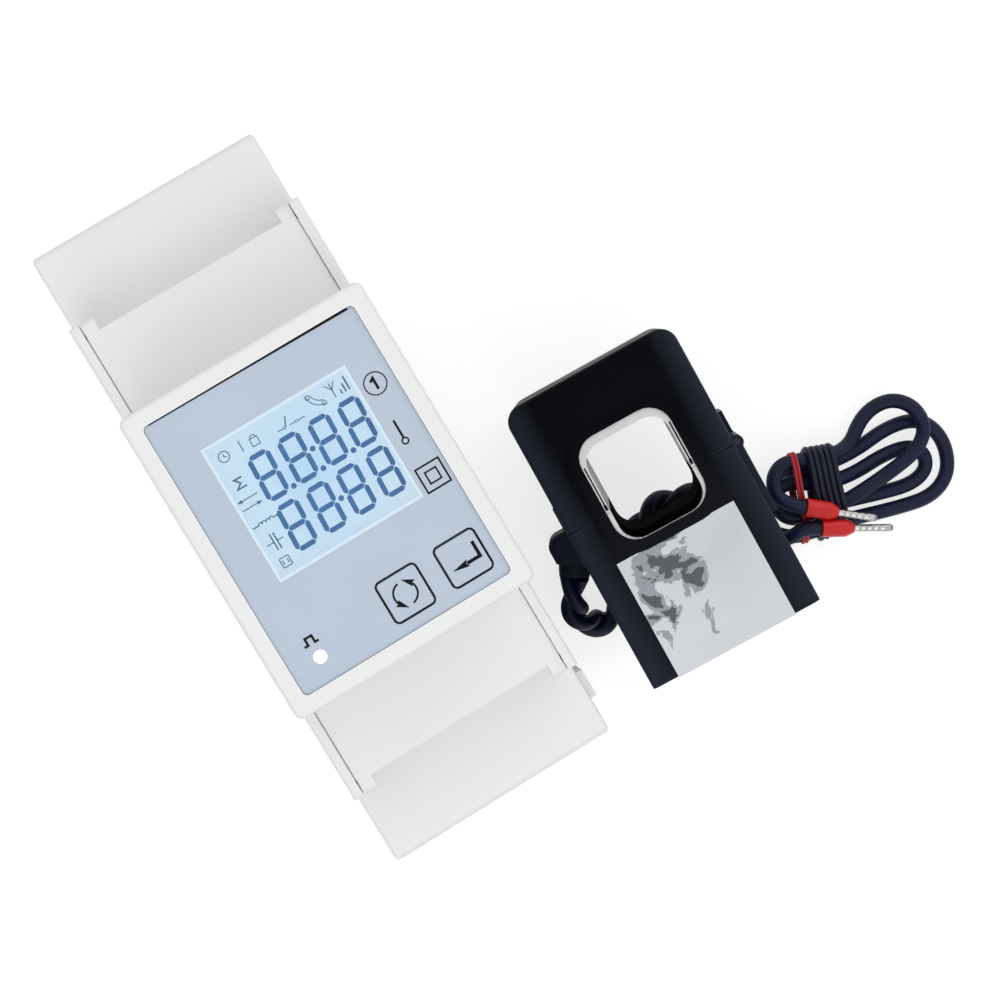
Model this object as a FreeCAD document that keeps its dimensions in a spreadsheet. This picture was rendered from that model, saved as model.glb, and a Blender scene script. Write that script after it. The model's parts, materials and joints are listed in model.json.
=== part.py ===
import FreeCAD, Part
import math
import os
import Sketcher
from FreeCAD import Placement, Rotation, Vector

# Two-module energy meter for a 35 mm rail, with its split-core current transformer and lead.
# Frame: origin at the centre of the rail seat, +X across the case, +Y to its upper end,
# +Z out of the front. The back of the case, and so the table it lies on, is at -back_depth.

os.makedirs("parts", exist_ok=True)
doc = FreeCAD.newDocument("EnergyMeter")

# Driving sizes, in millimetres and degrees.
SIZES = {
    # case
    "case_width": 36.0,
    "case_length": 100.0,
    "seat_to_front": 59.0,
    "back_depth": 6.0,
    "shell_wall": 1.6,
    "seat_floor": 1.6,
    "parting_height": 28.0,
    "end_height": 30.0,
    "end_round": 1.5,
    "end_chamfer": 4.0,
    "terminal_depth": 27.5,
    "nose_round": 1.2,
    "edge_round": 0.7,
    "arm_setback": 12.5,
    "arm_over_pivot": 2.0,
    "arm_wall": 1.45,
    "step_wall_setback": 14.8,
    "step_wall_under": 1.7,
    "snap_across": 12.0,
    "snap_low": 19.5,
    "side_lug_stand": 1.2,
    "side_lug_length": 4.3,
    "side_lug_setback": 7.25,
    # rail
    "rail_width": 35.0,
    "rail_play": 0.25,
    "flange_gap": 1.4,
    "hook_depth": 2.1,
    # clearances
    "fit_gap": 0.2,
    "slide_gap": 0.15,
    "pin_gap": 0.05,
    # faceplate and display: borders and insets are measured from the edges of the faceplate
    "plate_border": 2.35,
    "plate_sink": 0.4,
    "plate_thick": 0.9,
    "front_wall": 2.6,
    "window_beside": 4.9,
    "window_above": 6.25,
    "window_below": 14.3,
    "glass_border": 2.4,
    "glass_thick": 1.8,
    "guide_thick": 2.6,
    "frame_wall": 1.2,
    "board_thick": 1.6,
    "button_side": 6.0,
    "button_round": 0.9,
    "button_proud": 0.1,
    "button_inset": 4.75,
    "cycle_inset": 13.35,
    "enter_inset": 4.58,
    "button_flange": 0.7,
    "button_travel": 0.4,
    "pulse_side_inset": 4.35,
    "pulse_end_inset": 3.45,
    "pulse_radius": 0.9,
    # boards
    "main_board_height": 5.0,
    "pillar_radius": 2.0,
    "pillar_across": 13.0,
    "pillar_along": 20.0,
    "main_board_margin": 4.0,
    "riser_across": 11.0,
    "riser_length": 34.0,
    # terminals
    "block_under": 2.0,
    "clamp_setback": 21.6,
    "mains_pitch": 16.0,
    "mains_wire_radius": 2.8,
    "mains_screw_radius": 1.95,
    "mains_cage": 8.0,
    "mains_entry_height": 17.5,
    "signal_pitch": 8.0,
    "signal_wire_radius": 1.9,
    "signal_screw_radius": 1.45,
    "signal_cage": 6.0,
    "signal_entry_height": 18.5,
    # terminal covers
    "cover_thick": 1.6,
    "cover_sink": 0.4,
    "cover_setback": 14.4,
    "ear_width": 2.0,
    "ear_radius": 1.4,
    "pivot_setback": 13.7,
    "pivot_height": 40.0,
    "pivot_radius": 0.88,
    # rail latch
    "latch_half_width": 6.0,
    "latch_half_flange": 8.0,
    "latch_grip": 1.8,
    "latch_travel": 4.0,
    "latch_setback": 0.6,
    "spring_setback": 12.05,
    "spring_length": 9.4,
    "spring_radius": 1.35,
    "spring_wire": 0.5,
    # current transformer, in its own frame: x across, y up the face, z out of the face
    "ct_width": 27.6,
    "ct_height": 46.0,
    "ct_depth": 28.5,
    "ct_wall": 1.4,
    "ct_round": 2.7,
    "ct_edge": 1.0,
    "ct_split": 2.9,
    "ct_split_gap": 0.15,
    "window_width": 15.3,
    "window_height": 16.3,
    "window_middle": 5.2,
    "window_round": 3.2,
    "liner_wall": 0.75,
    "core_leg": 2.5,
    "core_yoke": 5.5,
    "core_inset": 2.0,
    "yoke_drop": 5.0,
    "hinge_radius": 1.1,
    "hinge_pin_radius": 0.5,
    "hinge_stand": 0.35,
    "hinge_third": 8.4,
    "strap_stand": 1.0,
    "strap_rise": 4.5,
    "strap_drop": 11.5,
    "latch_tongue": 0.7,
    "label_width": 19.3,
    "label_top": 4.2,
    "label_thick": 0.15,
    "boss_stand": 4.8,
    "boss_low": 1.2,
    "boss_tall": 8.4,
    "gland_radius": 2.5,
    "gland_length": 2.2,
    # where the transformer lies beside the meter, on its own lead
    "ct_across": 45.5,
    "ct_along": -26.3,
    "ct_lift": 0.96,
    "ct_tilt": 9.0,
    "ct_turn": 1.8,
    # lead and its hank: distances between turns and layers are from middle to middle
    "wire": 2.4,
    "pair": 4.6,
    "hank_waist": 4.6,
    "hank_step": 3.0,
    "hank_layer": 2.9,
    "hank_lift": 0.6,
    "band_gap": 0.2,
    "wrap_width": 3.0,
    "wrap_thick": 0.4,
    "tie_width": 1.2,
    "tie_thick": 0.45,
    "collar_radius": 1.5,
    "collar_length": 5.4,
    "collar_mouth": 0.8,
    "collar_taper": 1.0,
    "ferrule_radius": 0.6,
    "ferrule_length": 6.0,
}

sheet = doc.addObject("Spreadsheet::Sheet", "dims")
for row, alias in enumerate(SIZES, start=1):
    sheet.set("A%d" % row, alias)
    sheet.set("B%d" % row, "%.6g" % SIZES[alias])
    sheet.setAlias("B%d" % row, alias)
doc.recompute()


class Size:
    """A length: its number now, and the sheet formula that drives it."""

    def __init__(self, number, formula):
        self.number = number
        self.formula = formula

    def __add__(self, other):
        other = as_size(other)
        return Size(self.number + other.number, "(%s + %s)" % (self.formula, other.formula))

    def __sub__(self, other):
        other = as_size(other)
        return Size(self.number - other.number, "(%s - %s)" % (self.formula, other.formula))

    def __mul__(self, factor):
        return Size(self.number * factor, "(%s * %.6g)" % (self.formula, factor))

    def __truediv__(self, divisor):
        return Size(self.number / divisor, "(%s / %.6g)" % (self.formula, divisor))

    def __neg__(self):
        return self * -1

    def __rsub__(self, other):
        return as_size(other) - self

    __radd__ = __add__
    __rmul__ = __mul__


def as_size(value):
    if isinstance(value, Size):
        return value
    return Size(float(value), "(%.6g)" % value)


def dim(alias):
    return Size(SIZES[alias], "dims." + alias)


def bind(item, name, value):
    item.setExpression(name, as_size(value).formula)


# Helpers for sketched bodies. Sketch x and y are: XY plane X, Y; YZ plane Y, Z; XZ plane X, Z.
subparts = []


def new_body(label):
    body = doc.addObject("PartDesign::Body", label)
    body.Label = label
    subparts.append(body)
    return body


def new_sketch(body, plane, offset):
    """A sketch on one of the body's origin planes, moved along the plane's normal."""
    sketch = body.newObject("Sketcher::SketchObject", "sketch")
    for feature in body.Origin.OriginFeatures:
        if feature.Role == plane + "_Plane":
            sketch.AttachmentSupport = (feature, [""])
    sketch.MapMode = "FlatFace"
    bind(sketch, "AttachmentOffset.Base.z", offset)
    return sketch


def place(sketch, geometry, point, x, y):
    """Ties a sketch point to the sketch's origin by two formulas."""
    for kind, value in (("DistanceX", x), ("DistanceY", y)):
        index = sketch.addConstraint(Sketcher.Constraint(kind, -1, 1, geometry, point, as_size(value).number))
        sketch.setExpression("Constraints[%d]" % index, as_size(value).formula)


def add_outline(sketch, corners):
    """A closed outline. A corner is (x, y), or (x, y, radius) between two square edges."""
    count = len(corners)
    spots = [(as_size(c[0]), as_size(c[1])) for c in corners]
    runs = []
    for i in range(count):
        here, after = spots[i], spots[(i + 1) % count]
        run = Vector(after[0].number - here[0].number, after[1].number - here[1].number, 0)
        runs.append(run.normalize())
    starts, ends, arcs = [], [], []
    for i in range(count):
        x, y = spots[i]
        if len(corners[i]) == 2:
            starts.append((x, y))
            ends.append((x, y))
            arcs.append(None)
            continue
        radius = as_size(corners[i][2])
        before, after = runs[i - 1], runs[i]
        first = (x - radius * before.x, y - radius * before.y)
        last = (x + radius * after.x, y + radius * after.y)
        centre = (first[0] + radius * after.x, first[1] + radius * after.y)
        ends.append(first)
        starts.append(last)
        arcs.append((first, last, centre, radius, before.cross(after).z > 0))
    lines = []
    for i in range(count):
        a, b = starts[i], ends[(i + 1) % count]
        segment = Part.LineSegment(Vector(a[0].number, a[1].number, 0), Vector(b[0].number, b[1].number, 0))
        lines.append(sketch.addGeometry(segment, False))
        place(sketch, lines[i], 1, a[0], a[1])
    for i in range(count):
        if arcs[i] is None:
            sketch.addConstraint(Sketcher.Constraint("Coincident", lines[i - 1], 2, lines[i], 1))
            continue
        first, last, centre, radius, left_turn = arcs[i]
        place(sketch, lines[i - 1], 2, first[0], first[1])
        middle = Vector(centre[0].number, centre[1].number, 0)
        low, high = (first, last) if left_turn else (last, first)
        low_angle = math.atan2(low[1].number - middle.y, low[0].number - middle.x)
        high_angle = math.atan2(high[1].number - middle.y, high[0].number - middle.x)
        circle = Part.Circle(middle, Vector(0, 0, 1), radius.number)
        arc = sketch.addGeometry(Part.ArcOfCircle(circle, low_angle, high_angle), False)
        near, far = (1, 2) if left_turn else (2, 1)
        sketch.addConstraint(Sketcher.Constraint("Coincident", lines[i - 1], 2, arc, near))
        sketch.addConstraint(Sketcher.Constraint("Coincident", arc, far, lines[i], 1))
        index = sketch.addConstraint(Sketcher.Constraint("DistanceX", -1, 1, arc, 3, middle.x))
        sketch.setExpression("Constraints[%d]" % index, centre[0].formula)


def rectangle(x_low, x_high, y_low, y_high, radius=None):
    corners = [(x_low, y_low), (x_high, y_low), (x_high, y_high), (x_low, y_high)]
    if radius is None:
        return corners
    return [corner + (radius,) for corner in corners]


def ordered(a, b):
    """Two sizes, the smaller one first."""
    a, b = as_size(a), as_size(b)
    return (a, b) if a.number < b.number else (b, a)


def add_circle(sketch, x, y, radius):
    centre = Vector(as_size(x).number, as_size(y).number, 0)
    circle = sketch.addGeometry(Part.Circle(centre, Vector(0, 0, 1), as_size(radius).number), False)
    place(sketch, circle, 3, x, y)
    index = sketch.addConstraint(Sketcher.Constraint("Radius", circle, as_size(radius).number))
    sketch.setExpression("Constraints[%d]" % index, as_size(radius).formula)


def extrude(body, kind, plane, start, length, outlines=(), circles=()):
    """A pad or a pocket that runs from start along the plane's normal."""
    sketch = new_sketch(body, plane, start)
    for corners in outlines:
        add_outline(sketch, corners)
    for x, y, radius in circles:
        add_circle(sketch, x, y, radius)
    feature = body.newObject("PartDesign::" + kind, kind.lower())
    feature.Profile = sketch
    if kind == "Pocket":
        feature.Reversed = True
    bind(feature, "Length", length)
    sketch.Visibility = False
    return feature


def pad(body, plane, start, length, outlines=(), circles=()):
    return extrude(body, "Pad", plane, start, length, outlines, circles)


def pocket(body, plane, start, length, outlines=(), circles=()):
    """A pocket that must take material away, which is tested at once."""
    doc.recompute()
    before = body.Shape.Volume
    feature = extrude(body, "Pocket", plane, start, length, outlines, circles)
    doc.recompute()
    if body.Shape.Volume > before - 1e-6:
        raise RuntimeError("a pocket of %s cuts nothing" % body.Label)
    return feature


def round_edges(body, radius, chosen):
    """A fillet on the edges of the body's tip for which chosen(edge) is true."""
    doc.recompute()
    base = body.Tip
    names = ["Edge%d" % (i + 1) for i, edge in enumerate(base.Shape.Edges) if chosen(edge)]
    if not names:
        raise RuntimeError("no edge to round on %s" % body.Label)
    fillet = body.newObject("PartDesign::Fillet", "fillet")
    fillet.Base = (base, names)
    bind(fillet, "Radius", radius)
    return fillet


def is_line_at(edge, **limits):
    """True for a straight edge whose two ends both have the stated coordinates."""
    if edge.Curve.TypeId != "Part::GeomLine":
        return False
    ends = [vertex.Point for vertex in edge.Vertexes]
    for axis, value in limits.items():
        number = as_size(value).number
        if any(abs(abs(getattr(end, axis)) - number) > 0.01 for end in ends):
            return False
    return True


# Helpers for pieces made of primitives.
def block(name, x, y, z):
    item = doc.addObject("Part::Box", name)
    for side, axis, span in (("Length", "x", x), ("Width", "y", y), ("Height", "z", z)):
        bind(item, side, as_size(span[1]) - span[0])
        bind(item, "Placement.Base." + axis, span[0])
    return item


AXES = {"x": Vector(1, 0, 0), "y": Vector(0, 1, 0), "z": Vector(0, 0, 1)}


def rod(name, axis, x, y, z, radius, length):
    item = doc.addObject("Part::Cylinder", name)
    item.Placement = Placement(Vector(0, 0, 0), Rotation(Vector(0, 0, 1), AXES[axis]))
    for letter, value in (("x", x), ("y", y), ("z", z)):
        bind(item, "Placement.Base." + letter, value)
    bind(item, "Radius", radius)
    bind(item, "Height", length)
    return item


def fuse(name, items):
    if len(items) == 1:
        return items[0]
    item = doc.addObject("Part::MultiFuse", name)
    item.Shapes = items
    return item


def cut(name, base, tools):
    item = doc.addObject("Part::Cut", name)
    item.Base = base
    item.Tool = fuse(name + "_tools", tools)
    return item


def group(name, items):
    """Several equal, separate solids under one label."""
    item = doc.addObject("Part::Compound", name)
    item.Links = items
    return item


def subpart(item, label):
    item.Label = label
    subparts.append(item)
    return item


# Names for the sizes that most pieces share.
half_width = dim("case_width") / 2
half_length = dim("case_length") / 2
back = -dim("back_depth")
front = dim("seat_to_front")
inner_half = half_width - dim("shell_wall")
gap = dim("fit_gap")
half_nose = half_length - dim("terminal_depth")
nose_inner = half_nose - dim("shell_wall")
rail_wall = dim("rail_width") / 2 + dim("rail_play")
latch_top = -dim("flange_gap") + 0.1
latch_shoulder = latch_top - 2.0

# Terminal ends: each length is set back from the end of the case, each height is hung from the pivot.
arm_reach = half_length - dim("arm_setback")
arm_height = dim("pivot_height") + dim("arm_over_pivot")
cover_top = arm_height - dim("cover_sink")
cover_bottom = cover_top - dim("cover_thick")
cover_edge = half_length - dim("cover_setback")
pivot_out = half_length - dim("pivot_setback")
step_wall_face = half_length - dim("step_wall_setback")
step_wall_top = cover_bottom - dim("step_wall_under")
block_top = cover_bottom - dim("block_under")
block_shelf = dim("end_height") - dim("shell_wall") - gap
clamp_line = half_length - dim("clamp_setback")
side_lug_centre = half_length - dim("side_lug_setback")
latch_end = half_length - dim("latch_setback")

# Faceplate: its edges, and what is set in from them.
plate_half_width = half_width - dim("plate_border")
plate_half_length = half_nose - dim("plate_border")
window_half_width = plate_half_width - dim("window_beside")
window_top = plate_half_length - dim("window_above")
window_bottom = plate_half_length - dim("window_below")
button_row = plate_half_length - dim("button_inset")
cycle_across = plate_half_width - dim("cycle_inset")
enter_across = plate_half_width - dim("enter_inset")
pulse_across = plate_half_width - dim("pulse_side_inset")
pulse_down = plate_half_length - dim("pulse_end_inset")


# Base housing: terminal ends, rail channel, latch channel, wire windows, snap windows.
def make_base_housing():
    body = new_body("base_housing")
    profile = [
        (rail_wall - dim("hook_depth"), back),
        (half_length - dim("end_chamfer"), back),
        (half_length, back + dim("end_chamfer")),
        (half_length, dim("end_height"), dim("end_round")),
        (arm_reach + 0.1, dim("end_height")),
        (arm_reach + 0.1, dim("parting_height")),
        (-arm_reach - 0.1, dim("parting_height")),
        (-arm_reach - 0.1, dim("end_height")),
        (-half_length, dim("end_height"), dim("end_round")),
        (-half_length, back + dim("end_chamfer")),
        (-half_length + dim("end_chamfer"), back),
        (-rail_wall, back),
        (-rail_wall, 0),
        (rail_wall, 0),
        (rail_wall, -dim("flange_gap")),
        (rail_wall - dim("hook_depth"), -dim("flange_gap")),
    ]
    pad(body, "YZ", -half_width, half_width * 2, [profile])
    inner_wall = step_wall_face - dim("shell_wall")
    steps = []
    for side in (1, -1):
        steps.append([
            (inner_wall * side, dim("parting_height")),
            ((arm_reach + 0.1) * side, dim("parting_height")),
            ((arm_reach + 0.1) * side, dim("end_height")),
            (step_wall_face * side, dim("end_height")),
            (step_wall_face * side, step_wall_top),
            (inner_wall * side, step_wall_top),
        ])
    pad(body, "YZ", -inner_half, inner_half * 2, steps)
    end_inner = half_length - dim("shell_wall")
    ceiling = dim("end_height") - dim("shell_wall")
    cavity = [
        (-end_inner, dim("seat_floor")),
        (end_inner, dim("seat_floor")),
        (end_inner, ceiling),
        (inner_wall, ceiling),
        (inner_wall, arm_height),
        (-inner_wall, arm_height),
        (-inner_wall, ceiling),
        (-end_inner, ceiling),
    ]
    pocket(body, "YZ", -inner_half, inner_half * 2, [cavity])
    # pillars that carry the main board
    pad(body, "XY", dim("seat_floor"), dim("main_board_height") - dim("seat_floor"), circles=[
        (dim("pillar_across") * hand, dim("pillar_along") * side, dim("pillar_radius"))
        for hand in (-1, 1) for side in (-1, 1)])
    # wire windows in the end walls, two at the upper end and four at the lower
    mains_half = dim("mains_wire_radius") + 1.8
    mains_windows = []
    for side in (-1, 1):
        middle = dim("mains_pitch") / 2 * side
        mains_windows.append(rectangle(
            middle - mains_half, middle + mains_half,
            dim("mains_entry_height") - mains_half, dim("mains_entry_height") + mains_half, 1.0))
    pocket(body, "XZ", -half_length - 1, dim("shell_wall") + 2, mains_windows)
    signal_half = dim("signal_wire_radius") + 1.2
    signal_windows = []
    for step in (-1.5, -0.5, 0.5, 1.5):
        middle = dim("signal_pitch") * step
        signal_windows.append(rectangle(
            middle - signal_half, middle + signal_half,
            dim("signal_entry_height") - signal_half, dim("signal_entry_height") + signal_half, 0.8))
    pocket(body, "XZ", half_length - dim("shell_wall") - 1, dim("shell_wall") + 2, signal_windows)
    # stepped channel of the rail latch
    narrow = dim("latch_half_width") + gap
    wide = dim("latch_half_flange") + gap
    shoulder = latch_shoulder - gap
    channel = [
        (-narrow, back - 1), (narrow, back - 1), (narrow, shoulder), (wide, shoulder),
        (wide, -dim("flange_gap") + gap), (-wide, -dim("flange_gap") + gap), (-wide, shoulder), (-narrow, shoulder),
    ]
    pocket(body, "XZ", rail_wall, half_length - rail_wall + 1, [channel])
    peg_front = -spring_seat
    pad(body, "XY", back + 1.2, -back - 1.2, [rectangle(-1.6, 1.6, peg_front - 2.2, peg_front)])
    # snap windows of the front housing
    snaps = []
    for side in (-1, 1):
        snaps.append(rectangle(snap_across * side - 2.8, snap_across * side + 2.8, snap_low - gap, snap_low + 2))
    pocket(body, "YZ", -half_width - 1, half_width * 2 + 2, snaps)
    lug = rectangle(-side_lug_centre - dim("side_lug_length") / 2,
                    -side_lug_centre + dim("side_lug_length") / 2, 18, 27)
    pad(body, "YZ", half_width, dim("side_lug_stand"), [lug])
    round_edges(body, dim("edge_round"), lambda edge: is_line_at(edge, x=half_width, y=half_length))
    return body


# The latch spring bears on the peg of the base at its outer end.
spring_seat = half_length - dim("spring_setback")
snap_across = dim("snap_across")
snap_low = dim("snap_low")


# Front housing: raised nose, side arms, faceplate recess, display and button openings.
def make_front_housing():
    body = new_body("front_housing")
    bottom = dim("parting_height") + 0.1
    arm_inner = half_width - dim("arm_wall")
    pad(body, "XY", bottom, arm_height - bottom,
        [rectangle(-half_width, half_width, -arm_reach, arm_reach)])
    round_edges(body, dim("edge_round"), lambda edge: is_line_at(edge, z=arm_height, x=half_width))
    pad(body, "XY", bottom, front - bottom,
        [rectangle(-half_width, half_width, -half_nose, half_nose, dim("nose_round"))])
    bays = []
    for side in (-1, 1):
        low, high = ordered(half_nose * side, (arm_reach + 1) * side)
        bays.append(rectangle(-arm_inner, arm_inner, low, high))
    pocket(body, "XY", bottom - 1, arm_height - bottom + 2, bays)
    wall_inner = half_width - dim("shell_wall") - gap
    pocket(body, "XY", bottom - 1, front - dim("front_wall") - bottom + 1,
           [rectangle(-wall_inner, wall_inner, -nose_inner, nose_inner)])
    recess = plate_bottom
    pocket(body, "XY", recess, front - recess + 1,
           [rectangle(-plate_half_width, plate_half_width, -plate_half_length, plate_half_length, 0.8)])
    openings = [rectangle(window_seat - window_half_width, window_half_width - window_seat,
                          window_seat - window_bottom, window_top - window_seat)]
    for across in (cycle_across, enter_across):
        openings.append(button_outline(across, button_half + dim("slide_gap")))
    pocket(body, "XY", front - dim("front_wall") - 1, dim("front_wall") + 2, openings,
           [(-pulse_across, -pulse_down, dim("pulse_radius") + 0.1)])
    # snap tongues that reach into the base and hook into its side windows
    for hand in (-1, 1):
        for side in (-1, 1):
            low, high = side * snap_across - 2.5, side * snap_across + 2.5
            root = (wall_inner - 1.2) * hand
            skin = wall_inner * hand
            nib = (wall_inner + 0.9) * hand
            shaft = ordered(root, skin)
            hook = ordered(skin, nib)
            pad(body, "XY", snap_low, bottom + 6 - snap_low, [rectangle(shaft[0], shaft[1], low, high)])
            pad(body, "XY", snap_low, as_size(1.4), [rectangle(hook[0], hook[1], low, high)])
    pocket(body, "YZ", -half_width - 1, half_width * 2 + 2, circles=[
        (pivot_out * side, dim("pivot_height"), dim("pivot_radius") + dim("pin_gap")) for side in (-1, 1)])
    round_edges(body, dim("edge_round"), lambda edge: (
        is_line_at(edge, z=front, x=half_width) or is_line_at(edge, z=front, y=half_nose)))
    return body


window_seat = 0.3
plate_top = front - dim("plate_sink")
plate_bottom = plate_top - dim("plate_thick")
button_half = dim("button_side") / 2


def button_outline(across, half):
    return rectangle(across - half, across + half, -button_row - half, -button_row + half,
                     dim("button_round"))


def make_faceplate():
    body = new_body("faceplate")
    half_x = plate_half_width - dim("pin_gap")
    half_y = plate_half_length - dim("pin_gap")
    openings = [rectangle(-window_half_width, window_half_width,
                          -window_bottom, window_top)]
    for across in (cycle_across, enter_across):
        openings.append(button_outline(across, button_half + dim("slide_gap")))
    pad(body, "XY", plate_bottom, dim("plate_thick"), [rectangle(-half_x, half_x, -half_y, half_y, 0.8)] + openings,
        [(-pulse_across, -pulse_down, dim("pulse_radius"))])


def make_display():
    """Clear window, liquid crystal glass, light guide and the frame that stands them on the board."""
    play = dim("pin_gap")
    subpart(block("display_window",
                  (-window_half_width + play, window_half_width - play),
                  (-window_bottom + play, window_top - play),
                  (plate_bottom, plate_top)), "display_window")
    half_glass = window_half_width + dim("glass_border")
    glass_low = -window_bottom - dim("glass_border")
    glass_high = window_top + dim("glass_border")
    glass_top = front - dim("front_wall") - gap
    glass_bottom = glass_top - dim("glass_thick")
    glass = new_body("display_glass")
    pad(glass, "XY", glass_bottom, dim("glass_thick"), [rectangle(-half_glass, half_glass, glass_low, glass_high)])
    # the front sheet stops short of the contact ledge at the lower edge
    ledge = 1.6
    pocket(glass, "XY", glass_top - dim("glass_thick") / 2, dim("glass_thick") / 2 + 1,
           [rectangle(-half_glass - 1, half_glass + 1, glass_low - 1, glass_low + ledge)])
    guide_bottom = glass_bottom - dim("guide_thick")
    subpart(block("light_guide", (-half_glass, half_glass), (glass_low, glass_high), (guide_bottom, glass_bottom)),
            "light_guide")
    outer_x = half_glass + play + dim("frame_wall")
    low_y = glass_low - play - dim("frame_wall")
    high_y = glass_high + play + dim("frame_wall")
    hollow = block("frame_hollow", (-half_glass - play, half_glass + play), (glass_low - play, glass_high + play),
                   (guide_bottom, glass_top + 1))
    sill = block("frame_sill", (-half_glass + 1, half_glass - 1), (glass_low + 1, glass_high - 1),
                 (board_top - 1, guide_bottom + 1))
    solid = block("frame_solid", (-outer_x, outer_x), (low_y, high_y), (board_top, glass_top))
    subpart(cut("display_frame_cut", solid, [hollow, sill]), "display_frame")


# The display board hangs under the display; its top carries the switches and the light.
board_top = front - 8.2
board_bottom = board_top - dim("board_thick")


def make_display_board():
    body = new_body("display_board")
    half_x = inner_half - gap - 0.3
    half_y = nose_inner - 0.3
    pad(body, "XY", board_bottom, dim("board_thick"), [rectangle(-half_x, half_x, -half_y, half_y, 1.0)])


button_skirt_top = front - dim("front_wall") - 0.1
switch_top = button_skirt_top - dim("button_flange") - dim("button_travel") - 0.05


def make_button(label, across):
    body = new_body(label)
    skirt = button_half + 0.9
    pad(body, "XY", button_skirt_top - dim("button_flange"), dim("button_flange"),
        [rectangle(across - skirt, across + skirt, -button_row - skirt, -button_row + skirt, 0.9)])
    pad(body, "XY", button_skirt_top, plate_top + dim("button_proud") - button_skirt_top,
        [button_outline(across, button_half)])
    round_edges(body, 0.25, lambda edge: (
        abs(edge.BoundBox.ZMin - plate_top.number - SIZES["button_proud"]) < 0.01
        and edge.BoundBox.ZLength < 0.01))


def make_switches():
    """Two tact switches under the buttons: square can and round plunger."""
    switches = []
    for across in (cycle_across, enter_across):
        middle = -button_row
        can = block("switch_can", (across - 3, across + 3), (middle - 3, middle + 3), (board_top, board_top + 2.6))
        plunger = rod("switch_plunger", "z", across, middle, board_top + 2.6, 1.6, switch_top - board_top - 2.6)
        switches.append(fuse("switch", [can, plunger]))
    subpart(group("switch_group", switches), "tact_switches")


def make_pulse_light():
    across, down = -pulse_across, -pulse_down
    subpart(block("pulse_led", (across - 1, across + 1), (down - 0.7, down + 0.7), (board_top, board_top + 0.8)),
            "pulse_led")
    pipe = rod("pipe_stem", "z", across, down, board_top + 0.9, dim("pulse_radius") - 0.05,
               plate_top - board_top - 0.9)
    collar = rod("pipe_collar", "z", across, down, front - dim("front_wall") - 1.3, dim("pulse_radius") + 0.6, 1.2)
    subpart(fuse("light_pipe_solid", [pipe, collar]), "light_pipe")


main_top = dim("main_board_height") + dim("board_thick")


def make_boards():
    half_y = half_length - dim("main_board_margin")
    main = new_body("main_board")
    pad(main, "XY", dim("main_board_height"), dim("board_thick"),
        [rectangle(-inner_half + 0.3, inner_half - 0.3, -half_y, half_y, 1.0)])
    riser = new_body("riser_board")
    half_riser = dim("riser_length") / 2
    pad(riser, "YZ", -dim("riser_across") - dim("board_thick") / 2, dim("board_thick"),
        [rectangle(-half_riser, half_riser, main_top, board_bottom, 0.6)])


def make_components():
    """What stands on the main board between the terminal blocks."""
    body = new_body("mains_capacitor")
    pad(body, "XY", main_top, as_size(14.0), [rectangle(-7, 6, 11.5, 18.5, 0.8)])
    cans = [rod("can", "z", 10.6, y, main_top, 4.0, 16.0) for y in (3.6, 13.0)]
    subpart(group("can_group", cans), "smoothing_capacitors")
    core = block("supply_core", (-6.5, 6.5), (-17.5, -4.5), (main_top + 3, main_top + 9))
    spool = block("supply_spool", (-4.5, 4.5), (-15.5, -6.5), (main_top, main_top + 12))
    subpart(fuse("supply_transformer_solid", [core, spool]), "supply_transformer")
    chips = [
        block("metering_chip", (-6, 1), (0, 7), (main_top, main_top + 1.2)),
        block("bus_chip", (9.5, 13.5), (-10, -5), (main_top, main_top + 1.4)),
        block("processor_chip", (9.0, 14.0), (-18, -13), (main_top, main_top + 1.2)),
    ]
    subpart(group("chip_group", chips), "board_chips")


# Terminal blocks: one L-shaped moulding at each end, with wire entries, clamp cages and screws.
block_inner = half_nose + 0.7
block_outer = half_length - dim("shell_wall") - gap
block_bottom = main_top + 0.1


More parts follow.
